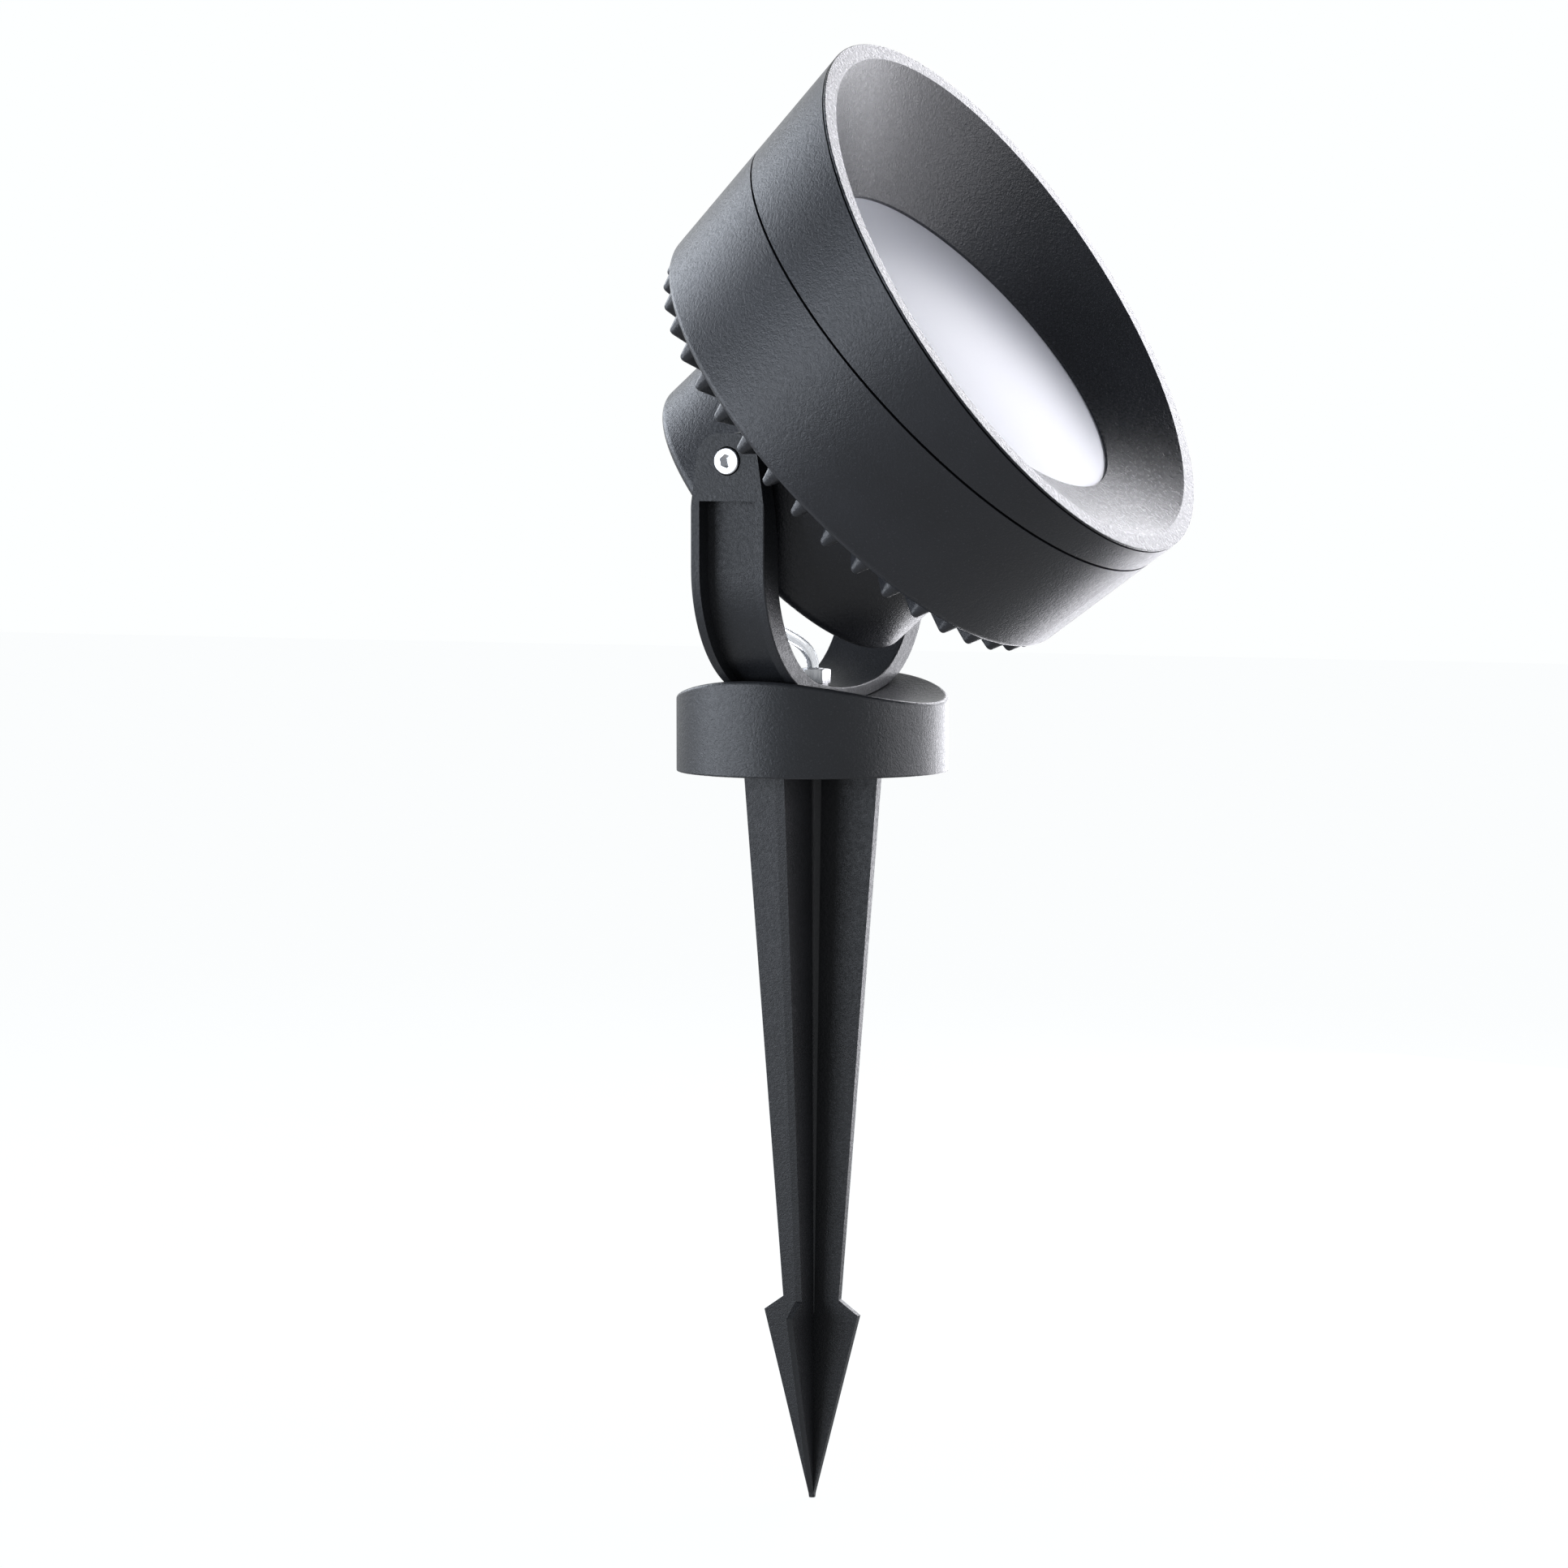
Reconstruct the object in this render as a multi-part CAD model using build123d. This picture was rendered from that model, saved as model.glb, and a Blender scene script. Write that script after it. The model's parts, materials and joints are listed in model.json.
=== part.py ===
from build123d import *
import os
from math import asin, atan, cos, degrees, hypot, pi, radians, sin, sqrt, tan

# Garden spike spotlight, in millimetres. The origin is the centre of the base's underside, which
# is the ground level. +Z is up, +X is the way the head faces, Y runs along the tilt axis.

# ---------------------------------------------------------------- driving sizes: stand
BASE_RADIUS = 43.5
BASE_VALLEY = 22.9          # height of the lowest line of the base's hollow top
TROUGH_RADIUS = 120.4       # the base's top is a trough of this radius, along X
BASE_ROOF = 4.5             # metal under the lowest line of the trough
BASE_EDGE = 1.2
CHAMBER_RADIUS = 29.0
BASE_GASKET = 1.0
COVER_RADIUS = 38.0         # round plate on top of the spike, let into the base
COVER_THICKNESS = 4.0
BASE_SCREW_CIRCLE = 33.8
BASE_SCREW_COUNT = 4
BASE_SCREW_RADIUS = 2.0
BASE_SCREW_HEAD = 3.8
BASE_SCREW_GRIP = 8.0       # thread in the base
BASE_SCREW_SOCKET = 1.3
BASE_SCREW_FLATS = 2.4

SPIKE_DEPTH = 235.0
RIB_TOP_REACH = 23.9
RIB_NECK_REACH = 9.9
BARB_REACH = 16.7
BARB_DEPTH = 174.7
BARB_RISE = 4.7
TIP_REACH = 0.5
RIB_TOP_THICKNESS = 3.2
RIB_TIP_THICKNESS = 1.8
RIB_FILLET = 3.0            # round corners between the ribs, under the cover
RIB_FILLET_AT_BARBS = 0.4

INLET_DISTANCE = 21.0       # cable inlet in the cover, from the centre
INLET_TURN = 135.0
INLET_BORE_RADIUS = 3.2
INLET_NECK_RADIUS = 5.2
INLET_LIP_RADIUS = 7.0
INLET_LIP = 1.5

TERMINAL_LENGTH = 34.0
TERMINAL_WIDTH = 14.0
TERMINAL_HEIGHT = 8.0
TERMINAL_POLES = 3
TERMINAL_PITCH = 10.0
TERMINAL_SCREW_RADIUS = 1.9
TERMINAL_SCREW_HEIGHT = 3.0
TERMINAL_SCREW_OFFSET = 4.2
TERMINAL_SLOT = 0.6
TERMINAL_SLOT_DEPTH = 1.0

PIVOT_HEIGHT = 99.3
YOKE_HALF = 60.2            # half the yoke's outside width
ARM_THICKNESS = 9.8
YOKE_WIDTH = 25.6
YOKE_OUTER_CORNER = 41.0
YOKE_INNER_CORNER = 38.0
YOKE_FOOT = 4.2
SEAT_GAP = 0.05
ARM_TOP = 8.6               # top of the arm, above the pivot
ARM_TOP_HALF = 9.4          # half the arm's width at its top, before the corners are rounded
ARM_CORNER = 8.0
ARM_TAPER_LENGTH = 15.0     # the arm narrows upwards from this far below the pivot
RELIEF_START = 31.0         # the arm's inner edges are cut back from this far below the pivot
RELIEF_AT_PIVOT = 5.2       # how far they are cut back, level with the pivot
PANEL_DROP = 12.4           # top of the arm's sunk panel, below the pivot
PANEL_FOOT = 30.0           # the sunk panel ends this far from the middle plane
PANEL_LIP = 3.1
WEB_THICKNESS = 3.8
YOKE_EDGE = 0.5

STUD_RADIUS = 3.5
STUD_BORE_RADIUS = 2.5
STUD_HEAD_RADIUS = 6.2
STUD_HEAD = 2.2
STUD_LEAD_IN = 0.2          # how far the stud stands out of its nut
LOCK_WASHER_RADIUS = 5.2
LOCK_WASHER = 0.75
LOCK_WASHER_SPLIT = 2.2
LOCK_WASHER_TURN = 200.0
NUT_FLATS = 10.0
NUT_HEIGHT = 4.8
SPOT_FACE_RADIUS = 6.8

# ---------------------------------------------------------------- driving sizes: head
# Stations are measured along the head's own axis, forward from the tilt axis.
HEAD_TILT = 40.4            # degrees above the horizon, as photographed
AXIS_DROP = 7.35            # the head's axis runs this far below the tilt axis
REAR_STATION = 18.3
SEAM_STATION = 60.8
SEAM_RADIUS = 89.4
SHELL_DRAFT = 5.2           # degrees, the shell widens forward
SEAM_GAP = 0.8
RIM_STATION = 86.6          # where the slanted rim plane crosses the head's axis
RIM_SLANT = 9.0             # degrees, the hood is deeper at the top
RIM_FACE = 5.4
RIM_LIP = 0.6
RIM_GAP = 0.6
RIM_EDGE = 0.25
REAR_EDGE = 2.5

REAR_PLATE = 4.5
REAR_WALL = 3.2
MOUTH_DEPTH = 6.8           # bore that takes the front ring's spigot
SPIGOT_INSET = 9.5          # from the shell's outside at the seam to the spigot's
SPIGOT_WALL = 3.6
FIN_COUNT = 40
FIN_WIDTH = 6.0             # at the rear plate
FIN_CREST = 2.6             # at the crest, before it is rounded
FIN_HEIGHT = 5.0
FIN_INSET = 1.2             # from the shell's outside to the fin's end
FIN_CUP_GAP = 3.0           # from the cup's outside to the fin's root
FIN_SINK = 2.7
PEDESTAL_RADIUS = 40.0
PEDESTAL_STATION = 38.0
PEDESTAL_WALL = 6.0
PEDESTAL_FLOOR = 4.5

SHELL_WALL = 3.0
WEB_FRONT = 65.0
WEB_REAR = 58.4
GLASS_SEAT = 61.9
OPENING_INSET = 29.4        # from the shell's outside at the seam to the opening
LIGHT_INSET = 1.5           # the web's bore is this much smaller than the opening
OPENING_STATION = 66.8
OPENING_LIP = 0.9
GLASS_BITE = 3.5            # the glass reaches this far past the opening
GLASS_SEAL = 1.0
DOME_GAP = 1.0              # round the dome, inside the opening
DOME_RISE = 2.6
BAFFLE_WALL = 3.2
BAFFLE_SKIRT = 2.2
BAFFLE_COLLAR = 8.0         # solid ring round the opening
BAFFLE_SCREW_INSET = 1.5    # from the screw's head to the inside of the spigot
BAFFLE_SCREW_COUNT = 4
BAFFLE_SCREW_REACH = 4.2
BAFFLE_BOSS_RADIUS = 3.9
SMALL_SCREW_RADIUS = 1.5
SMALL_SCREW_HEAD = 2.8
SMALL_SCREW_HEAD_HEIGHT = 1.8
SMALL_SCREW_FLATS = 2.0
BODY_SEAL_WIDTH = 2.8

BOARD_RADIUS = 36.0
BOARD_THICKNESS = 1.6
PAD_RADIUS = 35.0
PAD_THICKNESS = 0.5
EMITTER_RADIUS = 14.0
EMITTER_BASE = 1.0
EMITTER_DOME_RADIUS = 11.2
EMITTER_DOME = 1.4
BOARD_SCREW_CIRCLE = 31.0
BOARD_SCREW_COUNT = 3
BOARD_SCREW_GRIP = 3.2
BOARD_SCREW_HEAD_HEIGHT = 1.3
REFLECTOR_THROAT = 17.5
REFLECTOR_MOUTH_INSET = 1.0
REFLECTOR_WALL = 1.2
REFLECTOR_FLANGE = 7.5
REFLECTOR_BULGE = 2.5

CUP_RADIUS = 54.0
CUP_REAR = -22.1
CUP_WALL = 3.0
CUP_EDGE = 3.5
CUP_SEAL = 0.8
CUP_SCREW_INSET = 4.2
CUP_SCREW_COUNT = 4
CUP_SCREW_RADIUS = 2.0
CUP_SCREW_HEAD = 3.5
CUP_SCREW_HEAD_HEIGHT = 2.4
CUP_SCREW_FLATS = 3.0
CUP_SCREW_GRIP = 9.0
CUP_BOSS_RADIUS = 5.0
CUP_BOSS_LENGTH = 14.0

PIVOT_RADIUS = 2.5
PIVOT_HEAD_RADIUS = 4.25
PIVOT_HEAD_HEIGHT = 5.0
PIVOT_PROUD = 0.8           # the head stands this far out of the arm
PIVOT_SOCKET_FLATS = 4.0
PIVOT_SOCKET_DEPTH = 2.6
PIVOT_HEAD_EDGE = 0.5
PIVOT_WASHER_RADIUS = 9.0
PIVOT_WASHER = 0.7
INSERT_RADIUS = 4.0
INSERT_LENGTH = 10.0
PIVOT_BOSS_RADIUS = 7.5

DRIVER_LENGTH = 46.0
DRIVER_WIDTH = 44.0
DRIVER_HEIGHT = 30.0
DRIVER_EDGE = 1.4

GLAND_RADIUS = 5.0
GLAND_FLATS = 14.0
GLAND_COLLAR = 3.0
GLAND_STEM = 2.2
GLAND_CAP = 6.0
GLAND_LOCKNUT = 2.5
GLAND_LOCKNUT_RADIUS = 8.0
GLAND_SEAL_RADIUS = 4.0
GLAND_MOUTH_RADIUS = 2.15

LEAD_RADIUS = 1.9
LEAD_STRAIGHT = 5.4         # the lead's straight run behind the gland
LEAD_BACK_X = -23.9
LEAD_BACK_HEIGHT = 56.2
LEAD_LOW_X = -14.9
LEAD_LOW_HEIGHT = 45.7
LEAD_RISE_HEIGHT = 37.5
CORE_RADIUS = 0.7
CORE_SPREAD = 2.2

# ---------------------------------------------------------------- clearances
FIT = 0.05                  # radial, pins and threads modelled plain
LOOSE = 0.3                 # radial, parts that only pass each other
RUN = 0.1                   # along the tilt axis, between turning faces
EMBED = 0.5                 # overlap of two pieces of the same solid

# ---------------------------------------------------------------- derived sizes
YOKE_INSIDE_HALF = YOKE_HALF - ARM_THICKNESS
PIVOT_SEAT = YOKE_HALF + PIVOT_PROUD - PIVOT_HEAD_HEIGHT - RUN
YOKE_BOTTOM = BASE_VALLEY + SEAT_GAP
YOKE_FLOOR = YOKE_BOTTOM + YOKE_FOOT
TROUGH_AXIS_HEIGHT = BASE_VALLEY + TROUGH_RADIUS
ROOF_UNDERSIDE = BASE_VALLEY - BASE_ROOF
LEDGE_HEIGHT = COVER_THICKNESS + BASE_GASKET
NUT_BOTTOM = YOKE_FLOOR + LOCK_WASHER
NUT_TOP = NUT_BOTTOM + NUT_HEIGHT
STUD_TOP = NUT_TOP + STUD_LEAD_IN
TERMINAL_TOP = COVER_THICKNESS + TERMINAL_HEIGHT
ARM_TIP = PIVOT_HEIGHT + ARM_TOP
ARM_TAPER_START = PIVOT_HEIGHT - ARM_TAPER_LENGTH

DRAFT_SLOPE = tan(radians(SHELL_DRAFT))
SLANT_SLOPE = tan(radians(RIM_SLANT))
RING_STATION = SEAM_STATION + SEAM_GAP
SPIGOT_RADIUS = SEAM_RADIUS - SPIGOT_INSET
OPENING_RADIUS = SEAM_RADIUS - OPENING_INSET
LIGHT_RADIUS = OPENING_RADIUS - LIGHT_INSET
GLASS_RADIUS = OPENING_RADIUS + GLASS_BITE
DOME_RADIUS = OPENING_RADIUS - DOME_GAP
REFLECTOR_MOUTH = LIGHT_RADIUS - REFLECTOR_MOUTH_INSET
REFLECTOR_RIM_RADIUS = LIGHT_RADIUS + REFLECTOR_FLANGE
BAFFLE_SCREW_CIRCLE = SPIGOT_RADIUS - SPIGOT_WALL - SMALL_SCREW_HEAD - BAFFLE_SCREW_INSET
FIN_REACH = SEAM_RADIUS - DRAFT_SLOPE * (SEAM_STATION - REAR_STATION) - FIN_INSET
FIN_ROOT_RADIUS = CUP_RADIUS + FIN_CUP_GAP
FIN_SLOPE = (FIN_WIDTH - FIN_CREST) / 2 / FIN_HEIGHT
SPIGOT_END = SEAM_STATION - MOUTH_DEPTH
PLATE_FRONT = REAR_STATION + REAR_PLATE
PEDESTAL_INSIDE = PEDESTAL_RADIUS - PEDESTAL_WALL
PEDESTAL_UNDERSIDE = PEDESTAL_STATION - PEDESTAL_FLOOR
BOARD_STATION = PEDESTAL_STATION + PAD_THICKNESS
BOARD_FRONT = BOARD_STATION + BOARD_THICKNESS
COLLAR_RADIUS = OPENING_RADIUS + BAFFLE_COLLAR
GLASS_REAR = GLASS_SEAT + GLASS_SEAL
GLASS_FRONT = OPENING_STATION - OPENING_LIP
CUP_FRONT = REAR_STATION - CUP_SEAL
CUP_FLOOR = CUP_REAR + CUP_WALL
CUP_INSIDE = CUP_RADIUS - CUP_WALL
CUP_FLAT_HALF = YOKE_INSIDE_HALF - RUN - PIVOT_WASHER
CUP_FLAT_INSIDE = CUP_FLAT_HALF - CUP_WALL
CUP_SCREW_REACH = CUP_FLAT_HALF - CUP_SCREW_INSET
CUP_SEAL_REAR = CUP_FRONT
DRIVER_REAR = PEDESTAL_UNDERSIDE - DRIVER_HEIGHT
GLAND_TIP = CUP_REAR - GLAND_COLLAR - GLAND_CAP
GLAND_INNER_END = CUP_FLOOR + GLAND_LOCKNUT
LEAD_START = GLAND_INNER_END

# The head's own frame: its Z runs forward along the head's axis, its X points to the hood's
# short side and its Y is the tilt axis.
TILT = radians(HEAD_TILT)
HEAD_ORIGIN = (AXIS_DROP * sin(TILT), 0, PIVOT_HEIGHT - AXIS_DROP * cos(TILT))
HEAD = Plane(origin=HEAD_ORIGIN, x_dir=(sin(TILT), 0, -cos(TILT)), z_dir=(cos(TILT), 0, sin(TILT)))


# ---------------------------------------------------------------- helpers
def rod(radius, low, high, x=0.0, y=0.0):
    """A cylinder along Z between two heights."""
    shape = Cylinder(radius, high - low, align=(Align.CENTER, Align.CENTER, Align.MIN))
    return Pos(x, y, low) * shape


def ring(outer, inner, low, high):
    """A flat ring or tube along Z between two heights."""
    return rod(outer, low, high) - rod(inner, low, high)


def hexagon(flats, low, high, turn=0.0):
    """A hexagonal prism along Z, flats facing X unless turned."""
    face = RegularPolygon(flats / 2, 6, major_radius=False)
    return Rot(0, 0, turn + 30) * Pos(0, 0, low) * extrude(face, high - low)


def spun(points):
    """A solid turned about Z from a list of (radius, height) corners."""
    outline = Polyline(*[(radius, 0, height) for radius, height in points], close=True)
    return revolve(make_face(outline), Axis.Z)


def around(count, distance, turn=0.0):
    """Evenly spaced places on a circle about Z, as (x, y) pairs."""
    angles = [radians(turn) + 2 * pi * index / count for index in range(count)]
    return [(distance * cos(angle), distance * sin(angle)) for angle in angles]


def tube_along(points, radius):
    """A round tube whose straight runs are joined by tangent arcs as large as the runs allow."""
    vectors = [Vector(*point) for point in points]
    runs = [second - first for first, second in zip(vectors, vectors[1:])]
    radii = []
    for before, after in zip(runs, runs[1:]):
        half_turn = radians(before.get_angle(after)) / 2
        radii.append(0.45 * min(before.length, after.length) / tan(half_turn))
    path = FilletPolyline(*vectors, radius=radii)
    section = Plane(origin=path @ 0, z_dir=path % 0) * Circle(radius)
    solid = sweep(section, path=path)
    drift = solid.volume / (pi * radius ** 2 * path.length) - 1
    print("tube radii", [round(value, 1) for value in radii], "volume off by", round(drift, 5))
    return solid


def dome(radius, rise, low):
    """A spherical cap that stands on a round face at a height, sunk in a little."""
    sphere = (radius ** 2 + rise ** 2) / (2 * rise)
    ball = Pos(0, 0, low + rise - sphere) * Rot(90, 0, 0) * Sphere(sphere)
    return ball & rod(radius, low - EMBED, low + rise)


def head_point(x, y, station):
    """A point of the head's own frame, in the part's frame."""
    point = HEAD.from_local_coords(Vector(x, y, station))
    return (point.X, point.Y, point.Z)


def shell_radius(station):
    """Outside radius of the conical shell at a station."""
    return SEAM_RADIUS + DRAFT_SLOPE * (station - SEAM_STATION)


def rim_plane(back=0.0):
    """The slanted plane of the rim, or one that lies further back."""
    normal = Vector(SLANT_SLOPE, 0, 1).normalized()
    origin = Vector(0, 0, RIM_STATION) - normal * back
    return Plane(origin=origin, x_dir=(-1, 0, SLANT_SLOPE), z_dir=normal)


def screw(shank_radius, head_radius, head_height, length, socket_flats, socket_depth):
    """A socket screw along Z, its head standing on Z = 0 and its shank below."""
    body = rod(head_radius, 0, head_height) + rod(shank_radius, -length, EMBED)
    return body - hexagon(socket_flats, head_height - socket_depth, head_height + EMBED)


# ---------------------------------------------------------------- stand
def cross_middle(half, corner):
    """The middle of a cross-shaped section, hollowed round in each of its four corners."""
    reach = half + corner
    deepest = reach - corner / sqrt(2)
    hollow = ThreePointArc((reach, half), (deepest, deepest), (half, reach))
    side = Line((half, reach), (-half, reach))
    edges = []
    for index in range(4):
        edges.append(Rot(0, 0, 90 * index) * hollow)
        edges.append(Rot(0, 0, 90 * index) * side)
    return make_face(edges)


def make_spike():
    """The cross-shaped ground spike with the round cover that closes the base."""
    neck_depth = BARB_DEPTH - BARB_RISE
    half = [(RIB_TOP_REACH, EMBED), (RIB_NECK_REACH, -neck_depth), (BARB_REACH, -BARB_DEPTH)]
    half.append((TIP_REACH, -SPIKE_DEPTH))
    other = [(-reach, height) for reach, height in reversed(half)]
    outline = make_face(Polyline(*[(x, 0, z) for x, z in half + other], close=True))
    blade = extrude(outline, RIB_TOP_THICKNESS, both=True)
    top = RIB_TOP_THICKNESS / 2
    tip = RIB_TIP_THICKNESS / 2
    wedge = [(-top, EMBED), (top, EMBED), (tip, -SPIKE_DEPTH), (-tip, -SPIKE_DEPTH)]
    wedge_face = make_face(Polyline(*[(0, y, z) for y, z in wedge], close=True))
    blade = blade & extrude(wedge_face, RIB_TOP_REACH * 2, both=True)
    low_half = top - (top - tip) * (BARB_DEPTH + EMBED) / (SPIKE_DEPTH + EMBED)
    core = loft([
        Pos(0, 0, EMBED) * cross_middle(top - FIT, RIB_FILLET),
        Pos(0, 0, -BARB_DEPTH) * cross_middle(low_half - FIT, RIB_FILLET_AT_BARBS)])
    body = blade + Rot(0, 0, 90) * blade + core
    body += rod(COVER_RADIUS, 0, COVER_THICKNESS)
    for x, y in around(BASE_SCREW_COUNT, BASE_SCREW_CIRCLE, 45):
        sink = BASE_SCREW_HEAD - BASE_SCREW_RADIUS
        body -= rod(BASE_SCREW_RADIUS + LOOSE, -EMBED, COVER_THICKNESS + EMBED, x, y)
        cone = Cone(BASE_SCREW_HEAD + FIT, BASE_SCREW_RADIUS + FIT, sink,
                    align=(Align.CENTER, Align.CENTER, Align.MIN))
        body -= Pos(x, y, 0) * cone
    inlet_x, inlet_y = inlet_place()
    body -= rod(INLET_NECK_RADIUS + FIT, -EMBED, COVER_THICKNESS + EMBED, inlet_x, inlet_y)
    return body


def inlet_place():
    """Centre of the supply cable's inlet, between two ribs."""
    turn = radians(INLET_TURN)
    return INLET_DISTANCE * cos(turn), INLET_DISTANCE * sin(turn)


def make_inlet_grommet():
    """Rubber grommet of the cable inlet, a lip on each side of the cover."""
    body = ring(INLET_LIP_RADIUS, INLET_BORE_RADIUS, -INLET_LIP, 0)
    body += ring(INLET_NECK_RADIUS, INLET_BORE_RADIUS, -EMBED, COVER_THICKNESS + EMBED)
    body += ring(INLET_LIP_RADIUS, INLET_BORE_RADIUS, COVER_THICKNESS, COVER_THICKNESS + INLET_LIP)
    inlet_x, inlet_y = inlet_place()
    return Pos(inlet_x, inlet_y, 0) * body


def make_base_housing():
    """The round base with its trough-shaped top and the wiring chamber."""
    rim_height = TROUGH_AXIS_HEIGHT - sqrt(TROUGH_RADIUS ** 2 - BASE_RADIUS ** 2)
    body = rod(BASE_RADIUS, 0, rim_height + EMBED)
    trough = Rot(90, 0, 0) * Cylinder(TROUGH_RADIUS, BASE_RADIUS * 3, rotation=(0, 90, 0))
    body -= Pos(0, 0, TROUGH_AXIS_HEIGHT) * trough
    top_edge = [edge for edge in body.edges() if edge.center().Z > YOKE_BOTTOM / 2]
    top_edge = [edge for edge in top_edge if edge.length > BASE_RADIUS]
    body = fillet(top_edge, BASE_EDGE)
    body = fillet(body.edges().filter_by(GeomType.CIRCLE).sort_by(Axis.Z)[0], BASE_EDGE / 2)
    body -= rod(COVER_RADIUS + LOOSE, -EMBED, LEDGE_HEIGHT)
    body -= rod(CHAMBER_RADIUS, 0, ROOF_UNDERSIDE)
    body -= rod(STUD_RADIUS + FIT, 0, BASE_VALLEY + BASE_ROOF)
    hole_top = LEDGE_HEIGHT + BASE_SCREW_GRIP + EMBED
    for x, y in around(BASE_SCREW_COUNT, BASE_SCREW_CIRCLE, 45):
        body -= rod(BASE_SCREW_RADIUS + FIT, 0, hole_top, x, y)
    return body


def make_base_gasket():
    """Flat seal between the spike's cover and the base."""
    body = ring(COVER_RADIUS, CHAMBER_RADIUS, COVER_THICKNESS, LEDGE_HEIGHT)
    for x, y in around(BASE_SCREW_COUNT, BASE_SCREW_CIRCLE, 45):
        body -= rod(BASE_SCREW_RADIUS + LOOSE, 0, LEDGE_HEIGHT + EMBED, x, y)
    return body


def make_base_screw():
    """Countersunk screw, head down, its head's face level with the cover's underside."""
    sink = BASE_SCREW_HEAD - BASE_SCREW_RADIUS
    body = Cone(BASE_SCREW_HEAD, BASE_SCREW_RADIUS, sink,
                align=(Align.CENTER, Align.CENTER, Align.MIN))
    body += rod(BASE_SCREW_RADIUS, 0, LEDGE_HEIGHT + BASE_SCREW_GRIP)
    return body - hexagon(BASE_SCREW_FLATS, -EMBED, BASE_SCREW_SOCKET)


def make_terminal_block():
    """Terminal block standing on the cover, with wells for its screws."""
    body = Pos(0, 0, COVER_THICKNESS) * Box(
        TERMINAL_WIDTH, TERMINAL_LENGTH, TERMINAL_HEIGHT,
        align=(Align.CENTER, Align.CENTER, Align.MIN))
    for x, y in terminal_places():
        well = TERMINAL_SCREW_RADIUS + FIT
        body -= rod(well, TERMINAL_TOP - TERMINAL_SCREW_HEIGHT, TERMINAL_TOP + EMBED, x, y)
    return body


def terminal_places():
    """Places of the terminal screws, in a row beside the middle of the block."""
    offset = (TERMINAL_POLES - 1) / 2
    rows = [(index - offset) * TERMINAL_PITCH for index in range(TERMINAL_POLES)]
    return [(TERMINAL_SCREW_OFFSET, row) for row in rows]


def make_terminal_screw():
    """Slotted grub screw of a terminal, its top level with the block's."""
    body = rod(TERMINAL_SCREW_RADIUS, TERMINAL_TOP - TERMINAL_SCREW_HEIGHT, TERMINAL_TOP)
    slot = Box(TERMINAL_WIDTH, TERMINAL_SLOT, TERMINAL_SLOT_DEPTH * 2)
    return body - Pos(0, 0, TERMINAL_TOP) * slot


def make_hollow_stud():
    """Threaded tube that clamps the yoke to the base and lets the lead through."""
    body = rod(STUD_HEAD_RADIUS, ROOF_UNDERSIDE - STUD_HEAD, ROOF_UNDERSIDE)
    body += rod(STUD_RADIUS, ROOF_UNDERSIDE - EMBED, STUD_TOP)
    return body - rod(STUD_BORE_RADIUS, 0, STUD_TOP + EMBED)


def make_lock_washer():
    """Spring lock washer under the nut, with its gap."""
    body = ring(LOCK_WASHER_RADIUS, STUD_RADIUS + FIT, YOKE_FLOOR, NUT_BOTTOM)
    split_box = Box(LOCK_WASHER_RADIUS * 2, LOCK_WASHER, LOCK_WASHER_SPLIT,
                    align=(Align.MIN, Align.CENTER, Align.CENTER))
    return body - Pos(0, 0, YOKE_FLOOR) * Rot(0, 0, LOCK_WASHER_TURN) * split_box


def make_hex_nut():
    """Chrome nut of the hollow stud, corners chamfered."""
    body = hexagon(NUT_FLATS, NUT_BOTTOM, NUT_TOP)
    corner = NUT_FLATS / sqrt(3)
    bevel = corner - NUT_FLATS / 2
    profile = [(0, NUT_BOTTOM), (NUT_FLATS / 2, NUT_BOTTOM), (corner, NUT_BOTTOM + bevel / 2)]
    profile += [(corner, NUT_TOP - bevel / 2), (NUT_FLATS / 2, NUT_TOP), (0, NUT_TOP)]
    body = body & spun(profile)
    return body - rod(STUD_RADIUS + FIT, 0, NUT_TOP + EMBED)


def basket_face(half_width, bottom, bottom_radius, corner_radius, top):
    """Area inside a U whose bottom is a wide arc that runs into tighter corners."""
    axis_height = bottom + bottom_radius
    reach = bottom_radius - corner_radius
    lean = asin((half_width - corner_radius) / reach)
    corner_y = half_width - corner_radius
    corner_z = axis_height - reach * cos(lean)
    join = (bottom_radius * sin(lean), axis_height - bottom_radius * cos(lean))
    middle = pi / 4 + lean / 2
    elbow = (corner_y + corner_radius * sin(middle), corner_z - corner_radius * cos(middle))

    def at(y, z):
        return (0, y, z)

    edges = [ThreePointArc(at(-join[0], join[1]), at(0, bottom), at(*join))]
    for side in (1, -1):
        start = at(side * join[0], join[1])
        end = at(side * half_width, corner_z)
        edges.append(ThreePointArc(start, at(side * elbow[0], elbow[1]), end))
        edges.append(Line(end, at(side * half_width, top)))
    edges.append(Line(at(-half_width, top), at(half_width, top)))
    return make_face(edges)


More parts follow.
